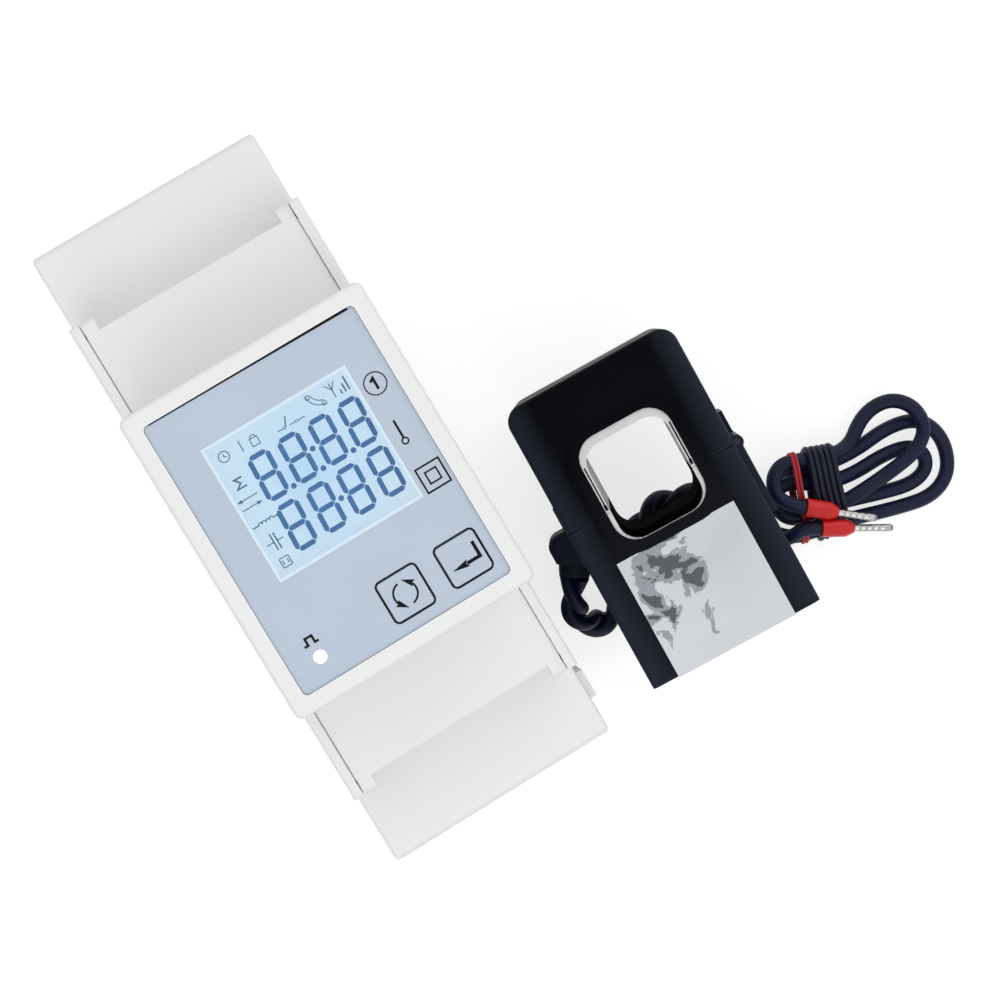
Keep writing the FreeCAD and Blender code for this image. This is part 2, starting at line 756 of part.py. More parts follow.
def make_terminals(prefix, side, columns, wire_radius, screw_radius, cage, entry_height):
    label = prefix + "_terminal_block"
    body = new_body(label)
    half_x = inner_half - gap
    profile = [
        (block_inner * side, block_bottom),
        (block_outer * side, block_bottom),
        (block_outer * side, block_shelf),
        ((step_wall_face - dim("shell_wall") - gap) * side, block_shelf),
        ((step_wall_face - dim("shell_wall") - gap) * side, block_top),
        (block_inner * side, block_top),
    ]
    pad(body, "YZ", -half_x, half_x * 2, [profile])
    line = clamp_line * side
    half_cage = cage / 2
    cage_deep = cage * 0.45
    cage_low = entry_height - wire_radius - 2.2
    cage_high = entry_height + wire_radius + 2.6
    web_top = block_top - 4.2
    head_radius = screw_radius * 1.6
    pockets = [rectangle(x - half_cage - 0.15, x + half_cage + 0.15, line - cage_deep - 0.15, line + cage_deep + 0.15)
               for x in columns]
    pocket(body, "XY", block_bottom - 1, cage_high + 0.15 - block_bottom + 1, pockets)
    pocket(body, "XY", cage_high - 1, web_top - cage_high + 2,
           circles=[(x, line, screw_radius + 0.25) for x in columns])
    pocket(body, "XY", web_top, block_top - web_top + 1,
           circles=[(x, line, head_radius + 0.4) for x in columns])
    # the wire entry runs from the end face into the cage pocket
    depth = block_outer - clamp_line - cage_deep + 0.5
    start = -block_outer - 0.5 if side > 0 else block_outer - depth
    reach = depth + 0.5
    pocket(body, "XZ", start, reach, circles=[(x, entry_height, wire_radius) for x in columns])
    cages = []
    screws = []
    for x in columns:
        shell = block("cage_shell", (x - half_cage, x + half_cage), (line - cage_deep, line + cage_deep),
                      (cage_low, cage_high))
        throat = block("cage_throat", (x - half_cage + 0.9, x + half_cage - 0.9),
                       (line - cage_deep - 1, line + cage_deep + 1),
                       (entry_height - wire_radius - 0.6, entry_height + wire_radius + 0.6))
        hole = rod("cage_hole", "z", x, line, entry_height, screw_radius + 0.05, cage_high - entry_height + 1)
        leg = rod("cage_leg", "z", x, line, main_top, 0.6, cage_low - main_top)
        cages.append(fuse("cage_with_leg", [cut("cage", shell, [throat, hole]), leg]))
        tip = entry_height + wire_radius - 0.4
        shaft = rod("screw_shaft", "z", x, line, tip, screw_radius, web_top - tip + 0.5)
        head = rod("screw_head", "z", x, line, web_top, head_radius, screw_radius * 1.2)
        slot_top = web_top + screw_radius * 1.2
        slot = block("screw_slot", (x - head_radius, x + head_radius), (line - 0.4, line + 0.4),
                     (slot_top - 0.9, slot_top + 1))
        cross = block("screw_cross", (x - 0.4, x + 0.4), (line - head_radius * 0.6, line + head_radius * 0.6),
                      (slot_top - 0.9, slot_top + 1))
        screws.append(cut("screw", fuse("screw_solid", [shaft, head]), [slot, cross]))
    subpart(group(prefix + "_cage_group", cages), prefix + "_clamp_cages")
    subpart(group(prefix + "_screw_group", screws), prefix + "_clamp_screws")


def make_terminal_cover(label, side):
    """A flap between the arms, with two ears and pivot pins at its outer corners."""
    body = new_body(label)
    half_x = half_width - dim("arm_wall") - gap
    inner = (half_nose + gap) * side
    low, high = ordered(inner, cover_edge * side)
    pad(body, "XY", cover_bottom, dim("cover_thick"), [rectangle(-half_x, half_x, low, high)])
    rib_low, rib_high = ordered((cover_edge - 1.2) * side, (cover_edge - 0.2) * side)
    rib_half = half_x - dim("ear_width") - 0.3
    pad(body, "XY", step_wall_top + gap, cover_bottom - step_wall_top - gap,
        [rectangle(-rib_half, rib_half, rib_low, rib_high)])
    stiff_low, stiff_high = ordered(inner, (half_nose + gap + 1.0) * side)
    pad(body, "XY", cover_bottom - 1.2, as_size(1.2), [rectangle(-half_x, half_x, stiff_low, stiff_high)])
    arm_low, arm_high = ordered((cover_edge - 0.5) * side, pivot_out * side)
    for hand in (-1, 1):
        start = half_x * hand - (dim("ear_width") if hand > 0 else 0)
        pad(body, "YZ", start, dim("ear_width"), circles=[
            (pivot_out * side, dim("pivot_height"), dim("ear_radius"))])
        pad(body, "YZ", start, dim("ear_width"), [rectangle(
            arm_low, arm_high, dim("pivot_height"), dim("pivot_height") + dim("ear_radius"))])
        pin_start = half_x if hand > 0 else -half_x - dim("arm_wall")
        pad(body, "YZ", pin_start, dim("arm_wall"), circles=[
            (pivot_out * side, dim("pivot_height"), dim("pivot_radius"))])
    round_edges(body, 0.4, lambda edge: is_line_at(edge, z=cover_top, y=half_nose + gap)
                or is_line_at(edge, z=cover_top, y=cover_edge))


# Rail latch and its spring.
def make_rail_latch():
    body = new_body("rail_latch")
    tip = -rail_wall + dim("latch_grip")
    narrow, wide = dim("latch_half_width"), dim("latch_half_flange")
    profile = [
        (-narrow, back + 0.1), (narrow, back + 0.1), (narrow, latch_shoulder), (wide, latch_shoulder),
        (wide, latch_top), (-wide, latch_top), (-wide, latch_shoulder), (-narrow, latch_shoulder),
    ]
    pad(body, "XZ", -tip, latch_end + tip, [profile])
    # lead-in bevel that lets the latch ride over the rail flange
    bevel = [(tip - 2.0, back - 1), (tip + 1, back - 1), (tip + 1, back + 3.0)]
    pocket(body, "YZ", -wide - 1, wide * 2 + 2, [bevel])
    bay_near = -(spring_seat - dim("spring_length") - 0.1)
    bay_far = -(spring_seat + dim("latch_travel") + 2.8)
    pocket(body, "XY", back - 1, -back + 1, [rectangle(-2.1, 2.1, bay_far, bay_near)])
    # slot for a screwdriver at the outer end
    pocket(body, "XY", back - 1, latch_shoulder - back + 0.4,
           [rectangle(-2.6, 2.6, -latch_end + 1.8, -latch_end + 3.6)])


def biarc_wire(points, tangents):
    """One smooth wire through the points, two arcs from each point to the next."""
    edges = []
    for i in range(len(points) - 1):
        start, end = points[i], points[i + 1]
        first, last = tangents[i], tangents[i + 1]
        chord = end - start
        total = first + last
        square = 2.0 * (1.0 - first.dot(last))
        reach = chord.dot(total)
        if square < 1e-9:
            handle = chord.dot(chord) / (4.0 * chord.dot(last))
        else:
            handle = (math.sqrt(reach * reach + square * chord.dot(chord)) - reach) / square
        joint = (start + first * handle + end - last * handle) * 0.5
        for a, direction, b in ((start, first, joint), (joint, None, end)):
            if direction is None:
                direction = (end - last * handle - joint).normalize()
            edges.append(arc_from(a, direction, b))
    return Part.Wire(edges)


def arc_from(start, direction, end):
    """The arc that leaves start along direction and ends at end, or a straight line."""
    chord = end - start
    sideways = chord - direction * chord.dot(direction)
    if sideways.Length < 1e-6:
        return Part.LineSegment(start, end).toShape()
    radius = chord.dot(chord) / (2.0 * sideways.Length)
    centre = start + sideways.normalize() * radius
    middle = (start + end) * 0.5 - centre
    if chord.dot(direction) < 0:
        middle = middle * -1
    return Part.Arc(start, centre + middle.normalize() * radius, end).toShape()


def tube(wire, radius):
    """A round tube along a wire, closed at both ends."""
    first = wire.OrderedEdges[0]
    tangent = first.tangentAt(first.FirstParameter)
    start = first.valueAt(first.FirstParameter)
    if (wire.OrderedVertexes[0].Point - start).Length > 1e-6:
        start = first.valueAt(first.LastParameter)
        tangent = first.tangentAt(first.LastParameter) * -1
    ring = Part.Wire([Part.Circle(start, tangent, radius).toShape()])
    return wire.makePipeShell([ring], True, False)


def make_latch_spring():
    """Compression spring along Y between the peg of the base and the near wall of the latch bay."""
    turns = 6
    radius = SIZES["spring_radius"]
    wire_radius = SIZES["spring_wire"] / 2
    rise = SIZES["spring_length"] - SIZES["spring_wire"]
    middle = Vector(0, -spring_seat.number + wire_radius, latch_shoulder.number + 0.1)

    def spot(turn):
        angle = 2 * math.pi * turn
        return middle + Vector(radius * math.cos(angle), rise * turn / turns, radius * math.sin(angle))

    points, tangents = sample(spot, 0, turns, 0.25)
    spring = doc.addObject("Part::Feature", "latch_spring_tube")
    spring.Shape = tube(biarc_wire(points, tangents), wire_radius)
    subpart(spring, "latch_spring")


def sample(spot, start, end, step):
    """Points and unit tangents along a formula, at even steps."""
    count = int(round((end - start) / step))
    points = []
    tangents = []
    for i in range(count + 1):
        turn = start + (end - start) * i / count
        points.append(spot(turn))
        tangents.append((spot(turn + 1e-5) - spot(turn - 1e-5)).normalize())
    return points, tangents


# Current transformer. Every piece is drawn in the transformer's own frame and then laid down.
ct_half = dim("ct_width") / 2
ct_top = dim("ct_height") / 2
split_low = dim("ct_split") - dim("ct_split_gap") / 2
split_high = dim("ct_split") + dim("ct_split_gap") / 2
hole_half = dim("window_width") / 2 + dim("liner_wall") + dim("pin_gap")
hole_top = dim("window_middle") + dim("window_height") / 2 + dim("liner_wall") + dim("pin_gap")
hole_bottom = dim("window_middle") - dim("window_height") / 2 - dim("liner_wall") - dim("pin_gap")
hinge_x = ct_half + dim("hinge_stand")
tube_wall = 1.0
core_front = dim("ct_depth") - dim("core_inset")
window_corner = dim("window_round") + dim("liner_wall")


def ct_placement():
    """Laid on its back beside the meter, the right edge raised by the lead under it."""
    tilt = Rotation(Vector(0, 1, 0), -SIZES["ct_tilt"])
    turn = Rotation(Vector(0, 0, 1), -SIZES["ct_turn"])
    spot = Vector(SIZES["ct_across"], SIZES["ct_along"], SIZES["ct_lift"])
    return Placement(spot, turn.multiply(tilt))


def lay_down(item):
    """Puts a transformer piece in its place; its three coordinates stay driven by the sheet."""
    item.Placement = ct_placement()
    for letter, alias in (("x", "ct_across"), ("y", "ct_along"), ("z", "ct_lift")):
        bind(item, "Placement.Base." + letter, dim(alias))
    return item


def hinge_spans():
    """Start of each of the three knuckles along z; the middle one is on the upper half."""
    third = dim("hinge_third")
    start = (dim("ct_depth") - third * 3) / 2
    return [start, start + third, start + third * 2]


def make_ct_shell(label, upper):
    body = new_body(label)
    depth = dim("ct_depth")
    wall = dim("ct_wall")
    edge = split_high if upper else split_low
    if upper:
        outline = [(-ct_half, edge), (ct_half, edge), (ct_half, ct_top, dim("ct_round")),
                   (-ct_half, ct_top, dim("ct_round"))]
        cavity = [(ct_half - wall, edge - 1), (ct_half - wall, ct_top - wall), (wall - ct_half, ct_top - wall),
                  (wall - ct_half, edge - 1), (-hole_half - tube_wall, edge - 1),
                  (-hole_half - tube_wall, hole_top + tube_wall), (hole_half + tube_wall, hole_top + tube_wall),
                  (hole_half + tube_wall, edge - 1)]
        window = [(-hole_half, edge - 1), (hole_half, edge - 1), (hole_half, hole_top, window_corner),
                  (-hole_half, hole_top, window_corner)]
    else:
        outline = [(-ct_half, -ct_top), (ct_half, -ct_top), (ct_half, edge), (-ct_half, edge)]
        cavity = [(wall - ct_half, edge + 1), (wall - ct_half, wall - ct_top), (ct_half - wall, wall - ct_top),
                  (ct_half - wall, edge + 1), (hole_half + tube_wall, edge + 1),
                  (hole_half + tube_wall, hole_bottom - tube_wall),
                  (-hole_half - tube_wall, hole_bottom - tube_wall), (-hole_half - tube_wall, edge + 1)]
        window = [(-hole_half, edge + 1), (-hole_half, hole_bottom, window_corner),
                  (hole_half, hole_bottom, window_corner), (hole_half, edge + 1)]
    pad(body, "XY", 0, depth, [outline])
    round_edges(body, dim("ct_edge"), lambda line: (
        is_line_at(line, x=ct_half) and line.BoundBox.YLength > 5))
    pocket(body, "XY", wall, depth - wall * 2, [cavity])
    pocket(body, "XY", -1, depth + 2, [window])
    starts = hinge_spans()
    third = dim("hinge_third")
    play = dim("slide_gap")
    mine, other = ([starts[1]], [starts[0], starts[2]]) if upper else ([starts[0], starts[2]], [starts[1]])
    for start in other:
        pocket(body, "XY", start, third, circles=[(hinge_x, dim("ct_split"), dim("hinge_radius") + gap)])
    reach = dim("strap_rise") if upper else -dim("strap_drop")
    low, high = ordered(dim("ct_split"), dim("ct_split") + reach)
    for start in mine:
        pad(body, "XY", start + play, third - play * 2,
            [rectangle(ct_half - 0.4, ct_half + dim("strap_stand"), low, high)])
        pad(body, "XY", start + play, third - play * 2,
            circles=[(hinge_x, dim("ct_split"), dim("hinge_radius"))])
        pocket(body, "XY", start, third, circles=[
            (hinge_x, dim("ct_split"), dim("hinge_pin_radius") + dim("pin_gap"))])
    return body


def make_ct_shells():
    upper = make_ct_shell("ct_upper_shell", True)
    # snap tongue on the left side, reaching past the split; the lower half has a groove for its lip
    tongue_face = -ct_half - dim("latch_tongue")
    third = dim("hinge_third")
    start = dim("ct_depth") / 2 - third / 2
    pad(upper, "XY", start, third, [rectangle(tongue_face, -ct_half + 0.4, split_high, split_high + 3.6)])
    pad(upper, "XY", start, third, [rectangle(tongue_face, -ct_half - 0.12, split_high - 6.5, split_high + 0.5)])
    pad(upper, "XY", start, third, [rectangle(tongue_face, -ct_half + 0.25, split_high - 6.5, split_high - 5.5)])
    lay_down(upper)
    lower = make_ct_shell("ct_lower_shell", False)
    pocket(lower, "XY", start - gap, third + gap * 2,
           [rectangle(-ct_half - 1, -ct_half + 0.5, split_high - 6.8, split_high + 1)])
    # rounded boss that the lead leaves from, its lower left corner cut square to the lead
    boss = [(boss_left, boss_slant_top), (-ct_half + 0.8, boss_slant_bottom), (-ct_half + 0.8, boss_top),
            (boss_left, boss_top, 2.0)]
    pad(lower, "XY", dim("boss_low"), dim("boss_tall"), [boss])
    round_edges(lower, 1.4, lambda line: (
        is_line_at(line, x=-boss_left) and line.BoundBox.YLength > 0.5 and line.BoundBox.XLength < 0.01))
    lay_down(lower)


# The slanted face of the boss drops 30 degrees away from the transformer's width.
slant = math.radians(30.0)
lead_direction = Vector(-math.sin(slant), -math.cos(slant), 0)
boss_left = -ct_half - dim("boss_stand")
boss_top = split_low - 0.7
boss_slant_top = boss_top - 4.0
boss_slant_bottom = boss_slant_top - (dim("boss_stand") + 0.8) * math.tan(slant)


def gland_centre():
    """Middle of the boss's slanted face, where the lead leaves it, and half way up the boss."""
    across = SIZES["gland_radius"] * math.cos(slant) + 0.3
    x = boss_left.number + across
    y = boss_slant_top.number - across * math.tan(slant)
    return Vector(x, y, SIZES["boss_low"] + SIZES["boss_tall"] / 2)


def make_gland():
    gland = doc.addObject("Part::Feature", "ct_lead_gland_solid")
    profile = [(0, 0), (SIZES["gland_radius"], 0), (SIZES["gland_radius"], 1.0),
               (SIZES["pair"] / 2 + 0.1, SIZES["gland_length"]), (0, SIZES["gland_length"]), (0, 0)]
    face = Part.Face(Part.makePolygon([Vector(r, 0, z) for r, z in profile]))
    gland.Shape = face.revolve(Vector(0, 0, 0), Vector(0, 0, 1), 360)
    gland.Placement = ct_placement().multiply(Placement(gland_centre(), Rotation(Vector(0, 0, 1), lead_direction)))
    subpart(gland, "ct_lead_gland")


def make_ct_inside():
    """Two core halves, bobbin and winding, liners, hinge pin and label."""
    leg_out = ct_half - dim("ct_wall") - 0.1
    leg_in = leg_out - dim("core_leg")
    low_z = dim("core_inset")
    tall = core_front - low_z
    yoke_top = hole_top + tube_wall + 0.4
    upper_core = new_body("ct_upper_core")
    pad(upper_core, "XY", low_z, tall, [[
        (-leg_out, split_high), (-leg_in, split_high), (-leg_in, yoke_top), (leg_in, yoke_top), (leg_in, split_high),
        (leg_out, split_high), (leg_out, yoke_top + dim("core_yoke"), 2.0),
        (-leg_out, yoke_top + dim("core_yoke"), 2.0)]])
    lay_down(upper_core)
    yoke_low = hole_bottom - tube_wall - dim("yoke_drop")
    lower_core = new_body("ct_lower_core")
    pad(lower_core, "XY", low_z, tall, [[
        (leg_out, split_low), (leg_in, split_low), (leg_in, yoke_low), (-leg_in, yoke_low), (-leg_in, split_low),
        (-leg_out, split_low), (-leg_out, yoke_low - dim("core_yoke"), 2.0),
        (leg_out, yoke_low - dim("core_yoke"), 2.0)]])
    # the yoke is waisted in depth to leave room for the winding
    pocket(lower_core, "XY", low_z - 1, winding_room + 1, [rectangle(
        -leg_in, leg_in, yoke_low - dim("core_yoke") - 1, yoke_low + 1)])
    pocket(lower_core, "XY", core_front - winding_room, winding_room + 1, [rectangle(
        -leg_in, leg_in, yoke_low - dim("core_yoke") - 1, yoke_low + 1)])
    lay_down(lower_core)
    inner = {
        "y": (yoke_low - dim("core_yoke") - 0.1, yoke_low + 0.1),
        "z": (low_z + winding_room - 0.1, core_front - winding_room + 0.1),
    }
    bobbin = ring_along_x("bobbin_tube", leg_in - 0.2, inner, 0.7)
    flanges = []
    for hand in (-1, 1):
        low, high = ((leg_in - 0.9) * hand, (leg_in - 0.2) * hand)
        span = (low, high) if hand > 0 else (high, low)
        solid = block("flange", span, (inner["y"][0] - 3.4, inner["y"][1] + 3.4),
                      (inner["z"][0] - 3.4, inner["z"][1] + 3.4))
        hole = block("flange_hole", (-leg_out, leg_out), inner["y"], inner["z"])
        flanges.append(cut("flange_ring", solid, [hole]))
    lay_down(subpart(fuse("bobbin_solid", [bobbin] + flanges), "ct_bobbin"))
    around = {"y": (inner["y"][0] - 0.8, inner["y"][1] + 0.8), "z": (inner["z"][0] - 0.8, inner["z"][1] + 0.8)}
    lay_down(subpart(ring_along_x("winding_solid", leg_in - 1.1, around, 2.2), "ct_winding"))


winding_room = as_size(3.6)


def ring_along_x(name, half_x, inner, wall):
    """A square ring round the X axis: half length, inner spans in y and z, and wall."""
    outer = block(name + "_outer", (-half_x, half_x), (inner["y"][0] - wall, inner["y"][1] + wall),
                  (inner["z"][0] - wall, inner["z"][1] + wall))
    hollow = block(name + "_hollow", (-half_x - 1, half_x + 1), inner["y"], inner["z"])
    return cut(name, outer, [hollow])


def make_ct_liner(label, upper):
    body = new_body(label)
    half = dim("window_width") / 2
    thick = dim("liner_wall")
    top = dim("window_middle") + dim("window_height") / 2
    bottom = dim("window_middle") - dim("window_height") / 2
    inner_round, outer_round = dim("window_round"), dim("window_round") + thick
    edge = split_high if upper else split_low
    if upper:
        outline = [(half, edge), (half + thick, edge), (half + thick, top + thick, outer_round),
                   (-half - thick, top + thick, outer_round), (-half - thick, edge), (-half, edge),
                   (-half, top, inner_round), (half, top, inner_round)]
        slot = (edge + 0.5, edge + 7.8)
    else:
        outline = [(-half, edge), (-half - thick, edge), (-half - thick, bottom - thick, outer_round),
                   (half + thick, bottom - thick, outer_round), (half + thick, edge), (half, edge),
                   (half, bottom, inner_round), (-half, bottom, inner_round)]
        slot = (edge - 1.4, edge - 0.4)
    pad(body, "XY", 0, dim("ct_depth"), [outline])
    # slits in both side walls, through which the dark shell shows
    pocket(body, "YZ", -half - thick - 1, half * 2 + thick * 2 + 2, [
        rectangle(slot[0], slot[1], dim("ct_depth") * 0.55, dim("ct_depth") * 0.8)])
    lay_down(body)


def make_ct_trim():
    start = hinge_spans()[0] + dim("slide_gap")
    length = dim("hinge_third") * 3 - dim("slide_gap") * 2
    pin = new_body("ct_hinge_pin")
    pad(pin, "XY", start, length, circles=[(hinge_x, dim("ct_split"), dim("hinge_pin_radius"))])
    lay_down(pin)
    label = new_body("ct_label")
    half = dim("label_width") / 2
    depth, thick = dim("ct_depth"), dim("label_thick")
    profile = [(-ct_top - thick, depth - 1.2), (-ct_top, depth - 1.2), (-ct_top, depth), (-dim("label_top"), depth),
               (-dim("label_top"), depth + thick), (-ct_top - thick, depth + thick)]
    pad(label, "YZ", -half, half * 2, [profile])
    lay_down(label)


# Lead: a twisted pair from the gland under the transformer, a tied hank, and two short ends with ferrules.
def rounded_route(points, label):
    """Straight runs joined by tangent arcs, each arc as large as its two runs allow."""
    edges = []
    radii = []
    start = points[0]
    for before, here, after in zip(points, points[1:], points[2:]):
        arriving, leaving = here - before, after - here
        shorter = min(arriving.Length, leaving.Length)
        half_turn = arriving.getAngle(leaving) / 2
        reach = 0.45 * shorter
        radii.append(reach / math.tan(half_turn))
        first = here - Vector(arriving).normalize() * reach
        last = here + Vector(leaving).normalize() * reach
        edges.append(Part.LineSegment(start, first).toShape())
        edges.append(arc_from(first, Vector(arriving).normalize(), last))
        start = last
    edges.append(Part.LineSegment(start, points[-1]).toShape())
    print("%s arc radii: %s" % (label, ", ".join("%.1f" % radius for radius in radii)))
    return Part.Wire(edges)


def add_cord(label, wire, radius):
    solid = tube(wire, radius)
    ideal = math.pi * radius * radius * wire.Length
    print("%s length %.1f, volume over section times length %.4f" % (label, wire.Length, solid.Volume / ideal))
    cord = doc.addObject("Part::Feature", label + "_tube")
    cord.Shape = solid
    return subpart(cord, label)


# The hank lies on the table beside the transformer, along its own axis, and is drawn in at its waist.
WAIST = Vector(70.3, -41.1, -SIZES["back_depth"])
HANK_AXIS = Vector(0.949, -0.316, 0).normalize()
HANK_SIDE = Vector(-HANK_AXIS.y, HANK_AXIS.x, 0)
# One row for each far loop in turn: reach, swell and tilt. One row for each near loop: reach and swell.
FAR_LOOPS = [(21.0, 9.8, 4.0), (17.6, 5.6, 4.0), (18.6, 7.6, 27.0)]
NEAR_LOOPS = [(11.4, 4.0), (8.0, 2.1), (9.0, 4.0)]
HANK_START = -0.42
HANK_END = 2.24
HANK_REVERSES = 1.25
CLIMB = (1.12, 1.36)
DROOP = 1.6
first_layer = SIZES["wire"] / 2 + SIZES["hank_lift"]
end_height = first_layer + SIZES["hank_layer"] * 2


def in_hank(along, side, height):
    return WAIST + HANK_AXIS * along + HANK_SIDE * side + Vector(0, 0, height)


def hank_way(along, side, height=0.0):
    """A unit direction given along the hank, across it and upward."""
    return (HANK_AXIS * along + HANK_SIDE * side + Vector(0, 0, height)).normalize()


def smooth(share):
    share = min(max(share, 0.0), 1.0)
    return share * share * (3 - 2 * share)


def hank_spot(turn):
    """Two layers: the turns spiral in on the table, climb a layer, and spiral out again."""
    angle = 2 * math.pi * turn
    across, up = math.cos(angle), math.sin(angle)
    inward = turn if turn < HANK_REVERSES else 2 * HANK_REVERSES - turn
    waist = SIZES["hank_waist"] - SIZES["hank_step"] * inward
    height = first_layer + SIZES["hank_layer"] * smooth((turn - CLIMB[0]) / (CLIMB[1] - CLIMB[0]))
    if across < 0:
        reach, swell = NEAR_LOOPS[int(turn + 0.75)]
        side = up * (waist + swell * 1.15 * across * across / (0.15 - across))
        return in_hank(reach * across, side, height)
    loop = int(turn + 0.5)
    reach, swell, tilt = FAR_LOOPS[loop]
    along = reach * across
    side = up * (waist + swell * 10.0 * across * across / (9.0 + across))
    turned = math.radians(tilt) * smooth(across / 0.6)
    if loop == 2 and up > 0:
        height -= DROOP * math.sin(2 * angle) ** 4
    return in_hank(along * math.cos(turned) - side * math.sin(turned),
                   along * math.sin(turned) + side * math.cos(turned), height)


def least_gap(points, across, diameter):
    """The least gap between stretches of one tube that are not neighbours along it."""
    spacing = (points[1] - points[0]).Length
    apart = int(across / spacing)
    least = 1e9
    for i in range(0, len(points), 2):
        for j in range(i + apart, len(points), 2):
            least = min(least, (points[i] - points[j]).Length)
    return least - diameter


def make_hank():
    """The wire's loops, and its own end folded back on top of them to the first ferrule."""
    points, tangents = sample(hank_spot, HANK_START, HANK_END, 0.0625)
    lead_in = points[0] - tangents[0] * SIZES["wire"]
    fold = [
        (in_hank(-3.6, 5.4, end_height - 1.5), hank_way(-0.85, 0.25, 0.42)),
        (in_hank(-8.6, 6.5, end_height), hank_way(-1, 0)),
        (in_hank(-12.2, 3.2, end_height), hank_way(0, -1)),
        (in_hank(-9.3, 0.35, end_height + 0.5), hank_way(0.93, -0.36, 0.03)),
    ]
    for spot, way in fold:
        points.append(spot)
        tangents.append(way)
    points.append(first_ferrule - first_way * SIZES["wire"])
    tangents.append(first_way)
    edges = [Part.LineSegment(lead_in, points[0]).toShape()] + biarc_wire(points, tangents).OrderedEdges
    edges.append(Part.LineSegment(points[-1], first_ferrule).toShape())
    wire = Part.Wire(edges)
    radii = [edge.Curve.Radius for edge in edges if edge.Curve.TypeId == "Part::GeomCircle"]
    print("hank least gap to itself %.2f, tightest radius %.2f" % (
        least_gap(wire.discretize(Distance=0.5), 7.5, SIZES["wire"]), min(radii)))
    add_cord("lead_hank", wire, SIZES["wire"] / 2)
    return lead_in, tangents[0]


first_ferrule = in_hank(-3.3, -1.9, end_height + 0.7)
first_way = hank_way(0.933, -0.36)
second_ferrule = in_hank(-1.65, -7.2, first_layer + 3.2)
second_way = hank_way(0.975, -0.22)


def make_lead():
    lead_in, arriving = make_hank()
    # the pair runs from the gland, under the transformer, to the hank
    outward = arriving.cross(Vector(0, 0, 1)).normalize()
    spread = SIZES["wire"] / 2 + 0.05
    place_ct = ct_placement()
    exit_point = place_ct.multVec(gland_centre() + lead_direction * SIZES["gland_length"])
    exit_way = place_ct.Rotation.multVec(lead_direction)
    low = -SIZES["back_depth"] + SIZES["pair"] / 2
    end_point = lead_in + outward * spread
    end_point = Vector(end_point.x, end_point.y, low)
    route = [
        exit_point,
        exit_point + exit_way * 4.8,
        Vector(26.0, -39.0, -0.9),
        Vector(29.6, -42.2, low),
        Vector(34.6, -41.2, low),
        Vector(38.0, -36.8, low),
        Vector(41.2, -32.4, low),
        Vector(46.0, -30.9, low),
        Vector(51.2, -31.6, low),
        end_point - arriving * 5.5,
        end_point,
    ]
    add_cord("lead_pair", rounded_route(route, "lead_pair"), SIZES["pair"] / 2)
    # the other wire of the pair passes round the near loops to the second ferrule
    start = lead_in + outward * spread * 2
    route = [
        start,
        start + arriving * 2.6,
        in_hank(-10.4, -8.2, first_layer + 0.8),
        in_hank(-7.4, -8.0, first_layer + 2.8),
        second_ferrule - second_way * 3.0,
        second_ferrule,
    ]
    add_cord("lead_end_two", rounded_route(route, "lead_end_two"), SIZES["wire"] / 2)


def make_band(label, along, width, thick, extra=()):
    """A closed band round the strands that cross the hank at one place along it."""
    centres = [Vector(*spot) for spot in extra]
    for i in range(801):
        rel = hank_spot(HANK_START + (HANK_END - HANK_START) * i / 800) - WAIST
        if abs(rel.dot(HANK_AXIS) - along) < width / 2 + 1.1:
            centres.append(Vector(rel.dot(HANK_SIDE), rel.z, 0))
    hull = convex_hull(centres)
    core = Part.Face(Part.makePolygon(hull + [hull[0]]))
    inside = core.makeOffset2D(SIZES["wire"] / 2 + SIZES["band_gap"])
    outside = core.makeOffset2D(SIZES["wire"] / 2 + SIZES["band_gap"] + thick)
    solid = outside.cut(inside).extrude(Vector(0, 0, width))
    band = doc.addObject("Part::Feature", label + "_ring")
    band.Shape = solid
    frame = Rotation(HANK_SIDE, Vector(0, 0, 1), HANK_SIDE.cross(Vector(0, 0, 1)), "ZXY")
    band.Placement = Placement(WAIST + HANK_AXIS * (along - width / 2), frame)
    return subpart(band, label)


def convex_hull(points):
    ordered_points = sorted(((round(p.x, 4), round(p.y, 4)) for p in points))
    halves = []
    for sequence in (ordered_points, ordered_points[::-1]):
        half = []
        for point in sequence:
            while len(half) > 1 and turn_of(half[-2], half[-1], point) <= 1e-9:
                half.pop()
            half.append(point)
        halves += half[:-1]
    return [Vector(x, y, 0) for x, y in halves]


def turn_of(a, b, c):
    return (b[0] - a[0]) * (c[1] - a[1]) - (b[1] - a[1]) * (c[0] - a[0])


def make_ferrules():
    collars = []
    pins = []
    straight = dim("collar_length") - dim("collar_taper")
    for spot, way in ((first_ferrule, first_way), (second_ferrule, second_way)):
        turn = Rotation(Vector(0, 0, 1), way)
        barrel = rod("collar_barrel", "z", 0, 0, 0, dim("collar_radius"), straight)
        taper = doc.addObject("Part::Cone", "collar_taper")
        bind(taper, "Radius1", dim("collar_radius"))
        bind(taper, "Radius2", dim("collar_mouth"))
        bind(taper, "Height", dim("collar_taper"))
        bind(taper, "Placement.Base.z", straight)
        collar = fuse("collar", [barrel, taper])
        collar.Placement = Placement(spot, turn)
        collars.append(collar)
        pin = doc.addObject("Part::Cylinder", "ferrule_pin")
        bind(pin, "Radius", dim("ferrule_radius"))
        bind(pin, "Height", dim("ferrule_length"))
        pin.Placement = Placement(spot + way * SIZES["collar_length"], turn)
        pins.append(pin)
    subpart(group("collar_group", collars), "ferrule_collars")
    subpart(group("pin_group", pins), "ferrule_pins")


